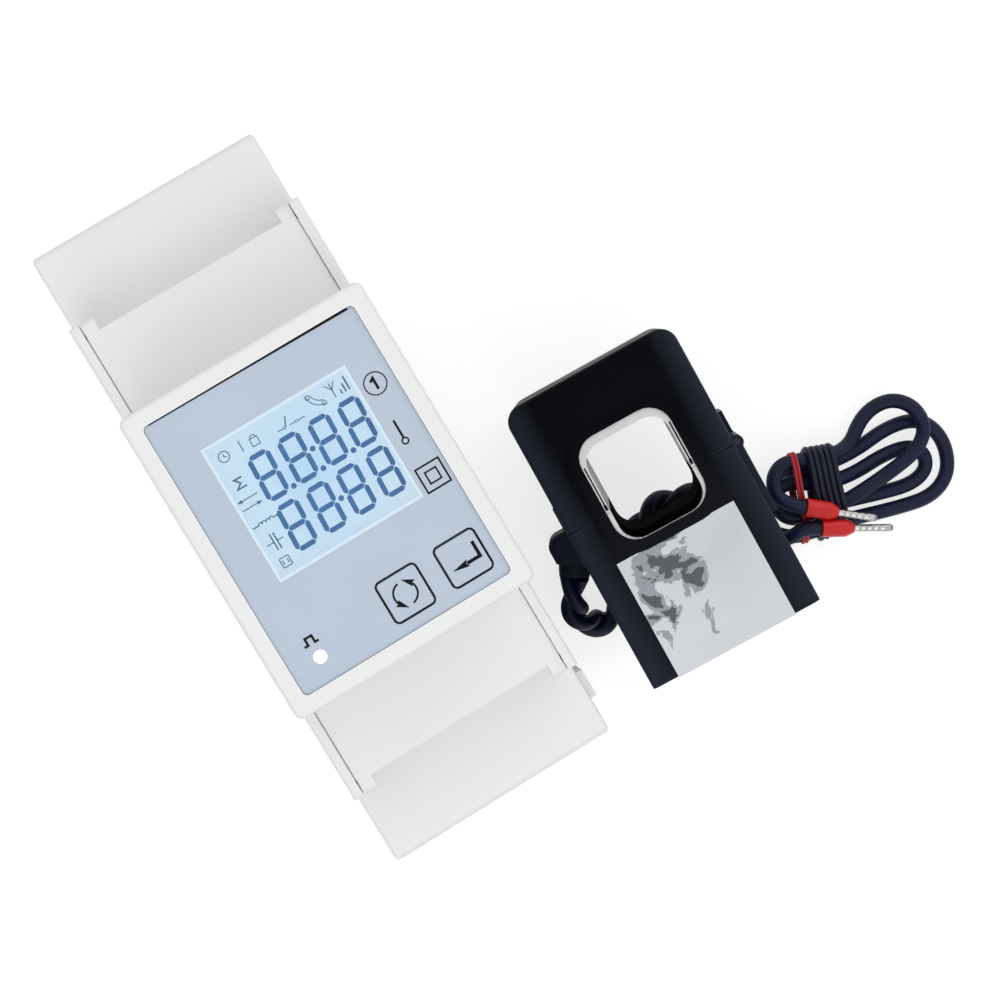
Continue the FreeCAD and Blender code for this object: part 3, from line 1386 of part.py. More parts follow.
def finish():
    doc.recompute()
    for item in doc.Objects:
        if "Invalid" in item.State or "Error" in item.State:
            raise RuntimeError("%s (%s) failed: %s" % (item.Name, item.Label, item.State))
    total = 0
    for item in subparts:
        shape = item.Shape
        if shape.isNull() or not shape.isValid():
            raise RuntimeError("%s has no valid shape" % item.Label)
        facets = len(shape.copy().tessellate(0.1, False)[1])
        total += facets
        print("%-24s solids %d  volume %10.2f  facets %d" % (item.Label, len(shape.Solids), shape.Volume, facets))
        shape.exportStep("parts/%s.step" % item.Label)
    print("%d sub-parts, %d facets" % (len(subparts), total))


make_base_housing()
make_front_housing()
make_faceplate()
make_display()
make_display_board()
make_button("cycle_button", cycle_across)
make_button("enter_button", enter_across)
make_switches()
make_pulse_light()
make_boards()
make_components()
mains_columns = [dim("mains_pitch") * step for step in (-0.5, 0.5)]
signal_columns = [dim("signal_pitch") * step for step in (-1.5, -0.5, 0.5, 1.5)]
make_terminals("upper", 1, mains_columns, dim("mains_wire_radius"), dim("mains_screw_radius"),
               dim("mains_cage"), dim("mains_entry_height"))
make_terminals("lower", -1, signal_columns, dim("signal_wire_radius"), dim("signal_screw_radius"),
               dim("signal_cage"), dim("signal_entry_height"))
make_terminal_cover("upper_terminal_cover", 1)
make_terminal_cover("lower_terminal_cover", -1)
make_rail_latch()
make_latch_spring()
make_ct_shells()
make_ct_inside()
make_ct_liner("ct_upper_liner", True)
make_ct_liner("ct_lower_liner", False)
make_ct_trim()
make_gland()
make_lead()
make_band("hank_wrap", 0.9, SIZES["wrap_width"], SIZES["wrap_thick"])
make_band("hank_tie", -5.0, SIZES["tie_width"], SIZES["tie_thick"], [(-7.0, first_layer + 3.2, 0)])
make_ferrules()
finish()
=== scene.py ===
"""A rail-mounted energy meter with its hinged current transformer and tied lead.

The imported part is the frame. This script adds the camera, the two wires of the lead with their wrap, tie
and crimped ferrules, the rim of the transformer's window, the latch's spring, the display's pane, border
and digits, the printed signs, and every finish. Sizes are in millimetres, turned into metres by MM where a
piece is made.
"""
import json
import math

import bmesh
import bpy
from mathutils import Matrix, Vector
from mathutils.geometry import convex_hull_2d


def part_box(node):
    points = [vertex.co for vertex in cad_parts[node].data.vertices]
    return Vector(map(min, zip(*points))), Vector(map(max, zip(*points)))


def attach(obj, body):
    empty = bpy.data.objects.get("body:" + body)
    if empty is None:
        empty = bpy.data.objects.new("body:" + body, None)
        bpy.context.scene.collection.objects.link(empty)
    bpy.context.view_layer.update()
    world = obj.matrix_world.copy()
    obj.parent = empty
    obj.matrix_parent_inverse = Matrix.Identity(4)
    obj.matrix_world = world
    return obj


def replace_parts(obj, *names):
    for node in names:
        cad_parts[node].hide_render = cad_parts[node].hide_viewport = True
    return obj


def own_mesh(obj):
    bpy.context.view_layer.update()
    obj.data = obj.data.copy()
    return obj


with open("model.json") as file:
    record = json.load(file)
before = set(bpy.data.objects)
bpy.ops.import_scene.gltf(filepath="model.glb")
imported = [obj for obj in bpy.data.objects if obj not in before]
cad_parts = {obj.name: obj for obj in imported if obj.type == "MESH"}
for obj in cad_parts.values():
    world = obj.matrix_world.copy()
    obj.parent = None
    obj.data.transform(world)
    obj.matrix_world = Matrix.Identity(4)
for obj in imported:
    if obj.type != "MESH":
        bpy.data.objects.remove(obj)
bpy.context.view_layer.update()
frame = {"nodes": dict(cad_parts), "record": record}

MM = 0.001
scene = bpy.context.scene
nodes = frame["nodes"]


# Camera: above the display, a little to its left, looking down at the middle of the set.
CAMERA_SPOT = Vector((-3.2, 4.4, 328.8))
CAMERA_RIGHT = Vector((0.8524, -0.5128, 0.1004)).normalized()
CAMERA_UP = Vector((0.5161, 0.8563, -0.0078))
CAMERA_LENS, CAMERA_SENSOR = 75.2, 36.0
CAMERA_NEAR, CAMERA_FAR = 0.01, 10.0
camera_back = CAMERA_RIGHT.cross(CAMERA_UP).normalized()
camera_axes = Matrix((CAMERA_RIGHT, camera_back.cross(CAMERA_RIGHT), camera_back)).transposed()
camera = bpy.data.objects.new("camera", bpy.data.cameras.new("camera"))
camera.data.lens = CAMERA_LENS
camera.data.sensor_width = CAMERA_SENSOR
camera.data.clip_start, camera.data.clip_end = CAMERA_NEAR, CAMERA_FAR
camera.matrix_world = Matrix.Translation(CAMERA_SPOT * MM) @ camera_axes.to_4x4()
scene.collection.objects.link(camera)
scene.camera = camera


# The lead: two wires, twisted together from the transformer's gland to the hank. Wire one then goes
# round the hank and folds back to the first ferrule; wire two goes straight to the second.
WIRE = 2.4
FLOOR = -6.0
PAIR_RISE = 2.3
TWIST_REACH, TWIST_PITCH = 1.16, 11.8
JOIN_DROP, JOIN_LENGTH = 0.5, 6.0
WAIST = Vector((70.3, -41.1, FLOOR))
HANK_AXIS = Vector((0.949, -0.316, 0.0)).normalized()
HANK_SIDE = Vector((-HANK_AXIS.y, HANK_AXIS.x, 0.0))
# One row for each far loop in turn: reach, swell and tilt. One row for each near loop: reach and swell.
# Near the waist a loop swells with the square of its reach; with a small ROUND that soon ends.
FAR_LOOPS = [(21.8, 9.8, 7.0), (18.0, 5.6, 5.0), (19.8, 8.0, 29.0)]
NEAR_LOOPS = [(11.4, 4.0), (8.0, 2.1), (9.0, 4.0)]
NEAR_ROUND, FAR_ROUND, TILTED_BY = 0.15, 9.0, 0.6
HANK_WAIST, HANK_STEP, HANK_LAYER, HANK_LIFT = 4.6, 3.0, 2.9, 0.6
HANK_START, HANK_END, HANK_REVERSES, HANK_STEPS = -0.42, 2.24, 1.25, 16
CLIMB_FROM, CLIMB_TO = 1.12, 1.36
DROOP = 1.6
FIRST_LAYER = WIRE / 2 + HANK_LIFT
END_HEIGHT = FIRST_LAYER + HANK_LAYER * 2


def in_hank(along, side, height):
    return WAIST + HANK_AXIS * along + HANK_SIDE * side + Vector((0, 0, height))


def smooth(share):
    share = min(max(share, 0.0), 1.0)
    return share * share * (3 - 2 * share)


def hank_spot(turn):
    """Two layers: the turns spiral in on the floor, climb a layer, and spiral out again."""
    angle = math.tau * turn
    across, up = math.cos(angle), math.sin(angle)
    inward = turn if turn < HANK_REVERSES else 2 * HANK_REVERSES - turn
    waist = HANK_WAIST - HANK_STEP * inward
    height = FIRST_LAYER + HANK_LAYER * smooth((turn - CLIMB_FROM) / (CLIMB_TO - CLIMB_FROM))
    if across < 0:
        reach, swell = NEAR_LOOPS[int(turn + 0.75)]
        grown = (1 + NEAR_ROUND) * across ** 2 / (NEAR_ROUND - across)
        return in_hank(reach * across, up * (waist + swell * grown), height)
    loop = int(turn + 0.5)
    reach, swell, tilt = FAR_LOOPS[loop]
    grown = (1 + FAR_ROUND) * across ** 2 / (FAR_ROUND + across)
    along, side = reach * across, up * (waist + swell * grown)
    turned = math.radians(tilt) * smooth(across / TILTED_BY)
    if loop == 2 and up > 0:
        height -= DROOP * math.sin(2 * angle) ** 4
    return in_hank(along * math.cos(turned) - side * math.sin(turned),
                   along * math.sin(turned) + side * math.cos(turned), height)


PAIR_ON_FLOOR = [(28.4, -41.0), (32.9, -39.8), (36.2, -35.0), (40.4, -30.4), (45.6, -28.6), (51.2, -30.2),
                 (55.6, -34.6), (57.4, -40.37)]
PAIR_ROUTE = [Vector(spot) for spot in ((27.48, -30.94, 3.60), (24.7, -34.7, 3.1), (25.2, -38.2, -0.7),
                                        *((x, y, FLOOR + PAIR_RISE) for x, y in PAIR_ON_FLOOR))]
HANK_ROUTE = [hank_spot(HANK_START + step / HANK_STEPS)
              for step in range(int((HANK_END - HANK_START) * HANK_STEPS) + 1)]
FIRST_FERRULE = in_hank(-5.2, -1.5, END_HEIGHT + 0.9)
FIRST_WAY = (HANK_AXIS * 0.933 + HANK_SIDE * -0.36).normalized()
SECOND_FERRULE = in_hank(-3.2, -5.3, END_HEIGHT - 0.1)
SECOND_WAY = (HANK_AXIS * 0.975 + HANK_SIDE * -0.22).normalized()
FOLD = ((-4.4, 5.99, -0.9), (-7.08, 5.99, -0.5), (-9.02, 4.37, 0.0), (-9.49, 1.88, 0.4), (-8.25, -0.32, 0.7))
FOLD_ROUTE = [in_hank(along, side, END_HEIGHT + rise) for along, side, rise in FOLD] + [FIRST_FERRULE]
SECOND_ROUTE = [
    Vector((56.23, -40.81, -4.2)), Vector((57.0, -42.9, -4.2)), in_hank(-10.6, -6.3, FIRST_LAYER + 1.6),
    in_hank(-8.1, -5.9, FIRST_LAYER + 4.6), SECOND_FERRULE - SECOND_WAY * 2.6, SECOND_FERRULE]


def route_curve(name, route, resolution=8, thickness=2.0):
    """A smooth spline on the route's points. A point's radius is the tube's own, which keeps the box true."""
    curve = bpy.data.curves.new(name, "CURVE")
    curve.dimensions = "3D"
    curve.resolution_u = resolution
    spline = curve.splines.new("NURBS")
    spline.points.add(len(route) - 1)
    for point, spot in zip(spline.points, route):
        point.co = (*(spot * MM), 1.0)
        point.radius = thickness / 2 * MM
    spline.order_u = 3
    spline.use_endpoint_u = True
    return curve


def spline_points(route):
    """The points of the route's smooth line, in millimetres."""
    bare = bpy.data.objects.new("route", route_curve("route", route))
    mesh = bpy.data.meshes.new_from_object(bare)
    spots = [vertex.co / MM for vertex in mesh.vertices]
    bpy.data.objects.remove(bare)
    return spots


def twisted_strand(line, half_turns):
    """One wire of the pair, winding round the pair's middle line; it ends beside the hank's start."""
    lengths = [0.0]
    for here, there in zip(line, line[1:]):
        lengths.append(lengths[-1] + (there - here).length)
    strand = []
    for index in range(0, len(line), 2):
        ahead, behind = line[min(index + 1, len(line) - 1)], line[max(index - 1, 0)]
        forward = (ahead - behind).normalized()
        side = forward.cross(Vector((0, 0, 1))).normalized()
        left = lengths[-1] - lengths[index]
        angle = math.pi * half_turns - math.tau * left / TWIST_PITCH
        around = side * math.cos(angle) + side.cross(forward) * math.sin(angle)
        drop = Vector((0, 0, JOIN_DROP * smooth(1 - left / JOIN_LENGTH)))
        strand.append(line[index] + around * TWIST_REACH - drop)
    return strand


def bare_tube(name, route, thickness, resolution, sides):
    curve = route_curve(name, route, resolution, thickness)
    curve.bevel_depth = 1.0
    curve.bevel_resolution = sides
    curve.use_fill_caps = True
    return bpy.data.objects.new(name, curve)


tubes = []


def add_tube(name, route, thickness, slot, resolution=6, sides=5):
    piece = bare_tube(name, route, thickness, resolution, sides)
    tubes.append((piece, slot))
    scene.collection.objects.link(piece)
    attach(piece, "transformer")
    return piece


pair_line = spline_points(PAIR_ROUTE)
first_route = twisted_strand(pair_line, 1)[:-1] + HANK_ROUTE + FOLD_ROUTE
second_route = twisted_strand(pair_line, 0)[:-1] + SECOND_ROUTE
wire_one = add_tube("wire_one", first_route, WIRE, "lead_sleeve")
wire_two = add_tube("wire_two", second_route, WIRE, "lead_sleeve")
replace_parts(wire_one, "lead_hank", "lead_pair")
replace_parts(wire_two, "lead_end_two")


def crossings(line, along):
    """Where a line crosses a plane square to the hank's axis: side and height, in millimetres."""
    spots = []
    for here, there in zip(line, line[1:]):
        first, last = ((spot - WAIST).dot(HANK_AXIS) - along for spot in (here, there))
        if first * last <= 0 and first != last:
            spot = here.lerp(there, first / (first - last))
            spots.append(((spot - WAIST).dot(HANK_SIDE), spot.z))
    return spots


TINY = 1e-9
ROUNDING = 1e-6


def hull_reach(hull, centre, way):
    """How far a closed convex outline lies from a point within it, in one direction."""
    for first, last in zip(hull, hull[1:] + hull[:1]):
        edge, gap = last - first, first - centre
        facing = way.x * edge.y - way.y * edge.x
        if abs(facing) < TINY:
            continue
        reach = (gap.x * edge.y - gap.y * edge.x) / facing
        share = (gap.x * way.y - gap.y * way.x) / facing
        if reach > 0 and -ROUNDING <= share <= 1 + ROUNDING:
            return reach
    return 0.0


BAND_STEPS = 36
BAND_BITE = 0.42


def wound_band(name, node, line, along, turns, thickness, pitch, slot):
    """Thin cord wound tightly round the strands of the hank. It replaces the plain band of the solids."""
    route = []
    for step in range(turns * BAND_STEPS + 1):
        here = along + (step / BAND_STEPS - turns / 2) * pitch
        rim = []
        for side, height in crossings(line, here):
            rim += arc((side, height), WIRE / 2 + thickness * BAND_BITE, 0, 330, 11)
        hull = [Vector(rim[index]) for index in convex_hull_2d(rim)]
        centre = sum(hull, Vector((0, 0))) / len(hull)
        angle = math.tau * step / BAND_STEPS
        way = Vector((math.cos(angle), math.sin(angle)))
        spot = centre + way * hull_reach(hull, centre, way)
        route.append(in_hank(here, spot.x, max(spot.y - FLOOR, thickness / 2)))
    piece = add_tube(name, route, thickness, slot, 3, 3)
    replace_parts(piece, node)
    return piece


def arc(centre, radius, first, last, steps=24):
    """Points along an arc, its ends given in degrees."""
    angles = [math.radians(first + (last - first) * step / steps) for step in range(steps + 1)]
    return [(centre[0] + radius * math.cos(angle), centre[1] + radius * math.sin(angle))
            for angle in angles]


hank_line = spline_points(HANK_ROUTE + FOLD_ROUTE[:3])
hank_binding = wound_band("hank_binding", "hank_wrap", hank_line, -0.2, 5, 1.08, 0.98, "wrap_black")
red_tie = wound_band("red_tie", "hank_tie", hank_line, -4.9, 2, 0.62, 0.6, "tie_red")


# Meshes for new pieces, drawn in millimetres.
WELD = 1e-4


def placed(mesh, name):
    data = bpy.data.meshes.new(name)
    mesh.to_mesh(data)
    mesh.free()
    piece = bpy.data.objects.new(name, data)
    scene.collection.objects.link(piece)
    return piece


def finished(mesh, name, body, slot, look=None):
    """Makes a piece that rides on its body. Its look is the finish of its slot, if no other is named."""
    bmesh.ops.scale(mesh, vec=(MM, MM, MM), verts=mesh.verts)
    piece = placed(mesh, name)
    piece.data.materials.append(FINISHES[look or slot])
    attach(piece, body)
    return piece


def joined(parts):
    """One bmesh from several."""
    whole = bmesh.new()
    for part in parts:
        data = bpy.data.meshes.new("part")
        part.to_mesh(data)
        part.free()
        whole.from_mesh(data)
        bpy.data.meshes.remove(data)
    return whole


def closed(mesh, shown_smooth=False):
    """Turns all faces outwards."""
    bmesh.ops.recalc_face_normals(mesh, faces=mesh.faces)
    if shown_smooth:
        for face in mesh.faces:
            face.smooth = True
    return mesh


def flat_sign(outlines, thick, bottom=0.0):
    """A thin plate from closed outlines in one plane. An outline inside another is a hole."""
    curve = bpy.data.curves.new("sign", "CURVE")
    curve.dimensions = "2D"
    curve.fill_mode = "BOTH"
    curve.extrude = thick / 2
    for outline in outlines:
        spline = curve.splines.new("POLY")
        spline.points.add(len(outline) - 1)
        spline.use_cyclic_u = True
        for point, (x, y) in zip(spline.points, outline):
            point.co = (x, y, 0, 1)
    drawn = bpy.data.objects.new("sign", curve)
    data = bpy.data.meshes.new_from_object(drawn)
    mesh = bmesh.new()
    mesh.from_mesh(data)
    bpy.data.objects.remove(drawn)
    bpy.data.meshes.remove(data)
    bmesh.ops.remove_doubles(mesh, verts=mesh.verts, dist=WELD)
    bmesh.ops.translate(mesh, vec=(0, 0, bottom + thick / 2), verts=mesh.verts)
    return closed(mesh)


def ring(centre, radius, width, steps=40):
    """The two outlines of a round line."""
    return [arc(centre, edge, 0, 360 - 360 / steps, steps - 1)
            for edge in (radius + width / 2, radius - width / 2)]


QUARTERS = ((1, 1), (-1, 1), (-1, -1), (1, -1))


def box_outline(centre, half_x, half_y, corner=0.0):
    if not corner:
        return [(centre[0] + half_x * i, centre[1] + half_y * j) for i, j in QUARTERS]
    points = []
    for quarter, (i, j) in enumerate(QUARTERS):
        middle = (centre[0] + (half_x - corner) * i, centre[1] + (half_y - corner) * j)
        points += arc(middle, corner, quarter * 90, quarter * 90 + 90, 6)
    return points


def box_line(centre, half, width, corner=0.0):
    """The two outlines of a square line."""
    inside = max(corner - width, 0.0)
    return [box_outline(centre, half, half, corner), box_outline(centre, half - width, half - width, inside)]


def stroke(points, width):
    """A drawn line through the points, with mitred corners and square ends."""
    left, right = [], []
    for index, (x, y) in enumerate(points):
        here = Vector((x, y))
        before = (here - Vector(points[index - 1])).normalized() if index else None
        after = (Vector(points[index + 1]) - here).normalized() if index < len(points) - 1 else None
        way = (before or after).lerp(after or before, 0.5).normalized()
        stretch = 1 / max(way.dot(after or before), 0.4)
        aside = Vector((-way.y, way.x)) * width / 2 * stretch
        left.append(tuple(here + aside))
        right.append(tuple(here - aside))
    return [left + right[::-1]]


# Ferrules: an insulating collar with a flared mouth, and a bare sleeve pressed in steps over the strands.
SLEEVE_RADIUS, SLEEVE_LENGTH = 0.62, 6.2
COLLAR_RADIUS, COLLAR_LENGTH = 1.5, 5.4
CRIMPS, CRIMP_DEPTH, CREST_DEPTH, CRIMP_TURN = 6, 0.36, 0.04, 0.6
SLEEVE_SUNK = 0.2
FERRULES = [(FIRST_FERRULE, FIRST_WAY), (SECOND_FERRULE, SECOND_WAY)]


def laid_along(mesh, start, way):
    """Turns a mesh that stands on its Z axis so that it lies along a direction from a point."""
    turn = way.to_track_quat("Z", "Y").to_matrix().to_4x4()
    bmesh.ops.transform(mesh, matrix=Matrix.Translation(start) @ turn, verts=mesh.verts)
    return mesh


def turned(profile, sides=32):
    """A closed solid spun from a profile of radius and height that starts and ends on the axis."""
    mesh = bmesh.new()
    spots = [mesh.verts.new((radius, 0, height)) for radius, height in profile]
    edges = [mesh.edges.new(pair) for pair in zip(spots, spots[1:])]
    bmesh.ops.spin(mesh, geom=spots + edges, cent=(0, 0, 0), axis=(0, 0, 1), angle=math.tau, steps=sides,
                   use_merge=True)
    bmesh.ops.remove_doubles(mesh, verts=mesh.verts, dist=WELD)
    return closed(mesh, shown_smooth=True)


def collar_mesh(start, way):
    """The red collar: a flared mouth round the wire, a straight body and a cone down to the bare sleeve."""
    half = WIRE / 2
    profile = [(0, 0.5), (half * 0.96, 0.5), (half * 1.02, 0.12), (COLLAR_RADIUS - 0.04, 0.0),
               (COLLAR_RADIUS + 0.06, 0.14), (COLLAR_RADIUS, 0.5), (COLLAR_RADIUS - 0.03, 2.0),
               (COLLAR_RADIUS - 0.03, 3.9), (COLLAR_RADIUS - 0.12, 4.2), (0.95, 5.15),
               (0.78, COLLAR_LENGTH), (0, COLLAR_LENGTH)]
    return laid_along(turned(profile), start, way)


def crimped_sleeve(start, way):
    """A sleeve pressed on two sides at each crimp, with the cut strands in its mouth."""
    mesh = bmesh.new()
    steps = CRIMPS * 4
    bmesh.ops.create_circle(mesh, cap_ends=True, segments=20, radius=SLEEVE_RADIUS)
    edges = mesh.edges[:]
    for step in range(1, steps + 1):
        grown = bmesh.ops.extrude_edge_only(mesh, edges=edges)["geom"]
        fresh = [item for item in grown if isinstance(item, bmesh.types.BMVert)]
        edges = [item for item in grown
                 if isinstance(item, bmesh.types.BMEdge) and all(end in fresh for end in item.verts)]
        pressed = CRIMP_DEPTH if step % 4 in (1, 2) and step < steps - 3 else CREST_DEPTH
        for vertex in fresh:
            angle = math.atan2(vertex.co.y, vertex.co.x)
            reach = SLEEVE_RADIUS * (1 - pressed * math.cos(angle * 2 - CRIMP_TURN) ** 2)
            vertex.co = (reach * math.cos(angle), reach * math.sin(angle), SLEEVE_LENGTH * step / steps)
    mouth = bmesh.ops.edgeloop_fill(mesh, edges=edges)["faces"]
    bmesh.ops.inset_region(mesh, faces=mouth, thickness=0.14)
    bmesh.ops.inset_region(mesh, faces=mouth, thickness=0.02, depth=-0.35)
    bmesh.ops.poke(mesh, faces=mouth, offset=0.2)
    return laid_along(closed(mesh, shown_smooth=True), start + way * (COLLAR_LENGTH - SLEEVE_SUNK), way)


# Finishes. Shared effects are node groups; each puts out a height or a mask that changes over the surface.
def add_node(tree, kind, inputs=None, **settings):
    """A shader node. Each input is given a plain value, or the output of another node to be fed from."""
    node = tree.nodes.new(kind)
    for name, value in settings.items():
        setattr(node, name, value)
    for socket, value in (inputs or {}).items():
        if isinstance(value, bpy.types.NodeSocket):
            tree.links.new(value, node.inputs[socket])
        else:
            node.inputs[socket].default_value = value
    return node


def object_spot(tree):
    """Where a point lies on its object, in metres."""
    return add_node(tree, "ShaderNodeTexCoord").outputs["Object"]


def noise(tree, spot, scale, **inputs):
    """Soft noise between 0 and 1."""
    return add_node(tree, "ShaderNodeTexNoise", {"Vector": spot, "Scale": scale, **inputs}).outputs["Fac"]


def spread(tree, value, first, last, low=0.0, high=1.0):
    """A number that runs from low to high as the value goes from first to last."""
    ends = {"Value": value, "From Min": first, "From Max": last, "To Min": low, "To Max": high}
    return add_node(tree, "ShaderNodeMapRange", ends).outputs["Result"]


def reckon(tree, operation, *numbers):
    return add_node(tree, "ShaderNodeMath", dict(enumerate(numbers)), operation=operation).outputs["Value"]


def round_patch(tree, vector_type="POINT", **placing):
    """One in the middle of a round patch, and nothing from its rim outwards."""
    placed = add_node(tree, "ShaderNodeMapping", {"Vector": object_spot(tree), **placing},
                      vector_type=vector_type)
    return add_node(tree, "ShaderNodeTexGradient", {"Vector": placed.outputs["Vector"]},
                    gradient_type="SPHERICAL").outputs["Fac"]


def new_group(name, inputs, outputs):
    """An empty node group: its tree, the values that it's given and the sockets that it fills."""
    tree = bpy.data.node_groups.new(name, "ShaderNodeTree")
    for socket, value in inputs.items():
        tree.interface.new_socket(socket, in_out="INPUT", socket_type="NodeSocketFloat").default_value = value
    for socket in outputs:
        tree.interface.new_socket(socket, in_out="OUTPUT", socket_type="NodeSocketFloat")
    return tree, add_node(tree, "NodeGroupInput").outputs, add_node(tree, "NodeGroupOutput").inputs


def make_grain():
    """Spark-eroded mould texture: a fine height, and a soft cloud for the tone."""
    tree, given, result = new_group("mould_grain", {"Grain": 2500.0, "Cloud": 60.0}, ["Height", "Tone"])
    spot = object_spot(tree)
    tree.links.new(noise(tree, spot, given["Grain"], Detail=3.0), result["Height"])
    tree.links.new(noise(tree, spot, given["Cloud"], Detail=2.0), result["Tone"])
    return tree


def make_marks():
    """Handling marks: faint smudges broken by fine straight scratches."""
    tree, given, result = new_group("handling_marks", {"Smudges": 90.0, "Scratches": 260.0}, ["Mask"])
    spot = object_spot(tree)
    drawn_out = add_node(tree, "ShaderNodeMapping", {
        "Vector": spot, "Rotation": (0.4, 0.3, 0.9), "Scale": (1.0, 22.0, 1.0)}).outputs["Vector"]
    scratches = spread(tree, noise(tree, drawn_out, given["Scratches"]), 0.62, 0.72)
    smudges = noise(tree, spot, given["Smudges"])
    tree.links.new(reckon(tree, "MAXIMUM", smudges, scratches), result["Mask"])
    return tree


def make_brushing():
    """Long fine lines along one axis, for rolled or brushed metal."""
    tree, given, result = new_group("brushing", {"Along X": 1.0, "Along Y": 30.0, "Scale": 300.0}, ["Lines"])
    stretch = add_node(tree, "ShaderNodeCombineXYZ", {"X": given["Along X"], "Y": given["Along Y"], "Z": 1.0})
    scaled = add_node(tree, "ShaderNodeVectorMath", {0: object_spot(tree), 1: stretch.outputs["Vector"]},
                      operation="MULTIPLY")
    tree.links.new(noise(tree, scaled.outputs["Vector"], given["Scale"]), result["Lines"])
    return tree


def make_edge_highlights():
    """A mask for painted highlights along edges: where an edge is near, the rounded normal turns away from
    the true one. Noise breaks it up.
    """
    tree, given, result = new_group("painted_edge_highlights", {"Radius": 0.0004, "Break up": 400.0}, ["Mask"])
    rounded = add_node(tree, "ShaderNodeBevel", {"Radius": given["Radius"]}, samples=4).outputs["Normal"]
    true = add_node(tree, "ShaderNodeNewGeometry").outputs["Normal"]
    facing = add_node(tree, "ShaderNodeVectorMath", {0: rounded, 1: true}, operation="DOT_PRODUCT")
    near = spread(tree, facing.outputs["Value"], 0.995, 0.90)
    patches = spread(tree, noise(tree, object_spot(tree), given["Break up"]), 0.25, 0.55)
    tree.links.new(reckon(tree, "MULTIPLY", near, patches), result["Mask"])
    return tree


GRAIN, MARKS, BRUSHING, EDGES = make_grain(), make_marks(), make_brushing(), make_edge_highlights()


class Finish:
    """A material under construction: one Principled shader and the effects that feed it."""

    def __init__(self, name, colour, roughness, metallic=0.0, specular=0.5):
        self.material = bpy.data.materials.new(name)
        self.material.use_nodes = True
        self.tree = self.material.node_tree
        self.shader = self.tree.nodes["Principled BSDF"]
        self.set("Base Color", (*colour, 1.0))
        self.set("Roughness", roughness)
        self.set("Metallic", metallic)
        self.set("Specular IOR Level", specular)

    def set(self, socket, value):
        self.shader.inputs[socket].default_value = value

    def feed(self, socket, output):
        self.tree.links.new(output, self.shader.inputs[socket])

    def place(self, group, **values):
        """Adds a shared effect and gives its outputs."""
        inputs = {socket.replace("_", " "): value for socket, value in values.items()}
        return add_node(self.tree, "ShaderNodeGroup", inputs, node_tree=group).outputs

    def blend(self, mask, first, second, socket="Base Color"):
        """A colour that runs from first to second with the mask. First may be another node's output."""
        below = first if isinstance(first, bpy.types.NodeSocket) else (*first, 1.0)
        mix = add_node(self.tree, "ShaderNodeMix", {"Factor": mask, "A": below, "B": (*second, 1.0)},
                       data_type="RGBA")
        self.feed(socket, mix.outputs["Result"])

    def over(self, mask, colour):
        """Lays one more colour over what already feeds the base colour, where the mask says."""
        self.blend(mask, self.shader.inputs["Base Color"].links[0].from_socket, colour)

    def roughen(self, mask, smooth_end, rough_end):
        """A roughness that follows the middle of the mask's range."""
        self.feed("Roughness", spread(self.tree, mask, 0.3, 0.7, smooth_end, rough_end))

    def raise_surface(self, height, depth, strength=0.6):
        """A bump whose depth is given in millimetres."""
        bump = add_node(self.tree, "ShaderNodeBump",
                        {"Height": height, "Strength": strength, "Distance": depth * MM})
        self.feed("Normal", bump.outputs["Normal"])


def shade(colour, factor):
    return tuple(min(channel * factor, 1.0) for channel in colour)


def moulded(name, colour, roughness, grain=2500.0, depth=0.012, tone=0.03, specular=0.5, edge_highlight=None):
    """Moulded plastic: fine texture, a slight cloud in its tone, handling marks and painted highlights along
    edges.
    """
    finish = Finish(name, colour, roughness, specular=specular)
    texture = finish.place(GRAIN, Grain=grain)
    finish.blend(texture["Tone"], shade(colour, 1 - tone), shade(colour, 1 + tone))
    if edge_highlight:
        # Painted highlight: a paler colour along edges.
        finish.over(finish.place(EDGES)["Mask"], edge_highlight)
    finish.roughen(finish.place(MARKS)["Mask"], roughness - 0.05, roughness + 0.07)
    finish.raise_surface(texture["Height"], depth)
    return finish.material


def metal(name, colour, roughness, along=(1.0, 30.0), tone=0.1, depth=0.004):
    finish = Finish(name, colour, roughness, metallic=1.0)
    lines = finish.place(BRUSHING, Along_X=along[0], Along_Y=along[1])["Lines"]
    finish.blend(lines, shade(colour, 1 - tone), shade(colour, 1 + tone))
    finish.roughen(lines, roughness - 0.06, roughness + 0.08)
    finish.raise_surface(lines, depth)
    return finish.material


def make_board_finish():
    """Solder mask over copper tracks, with bare pads."""
    finish = Finish("board_green", (0.05, 0.22, 0.10), 0.35)
    bricks = {"Vector": object_spot(finish.tree), "Scale": 220.0, "Mortar Size": 0.06}
    tracks = add_node(finish.tree, "ShaderNodeTexBrick", bricks).outputs["Fac"]
    mask = spread(finish.tree, tracks, 0.2, 0.8)
    finish.blend(mask, (0.03, 0.17, 0.07), (0.10, 0.30, 0.12))
    finish.raise_surface(mask, 0.03)
    return finish.material


def make_ferrite():
    finish = Finish("ferrite", (0.07, 0.07, 0.075), 0.6)
    speckle = add_node(finish.tree, "ShaderNodeTexVoronoi",
                       {"Vector": object_spot(finish.tree), "Scale": 1400.0}).outputs["Distance"]
    finish.blend(spread(finish.tree, speckle, 0.3, 0.7), (0.05, 0.05, 0.055), (0.11, 0.11, 0.115))
    finish.raise_surface(speckle, 0.02)
    return finish.material


def make_winding():
    """Enamelled wire laid side by side round the bobbin."""
    finish = Finish("copper_enamel", (0.45, 0.16, 0.05), 0.3, metallic=0.6)
    waves = {"Vector": object_spot(finish.tree), "Scale": 900.0, "Distortion": 0.6}
    turns = add_node(finish.tree, "ShaderNodeTexWave", waves, wave_type="BANDS",
                     bands_direction="X").outputs["Fac"]
    finish.blend(turns, (0.16, 0.05, 0.02), (0.52, 0.20, 0.07))
    finish.raise_surface(turns, 0.15)
    return finish.material


GLOW_REACH = 0.015


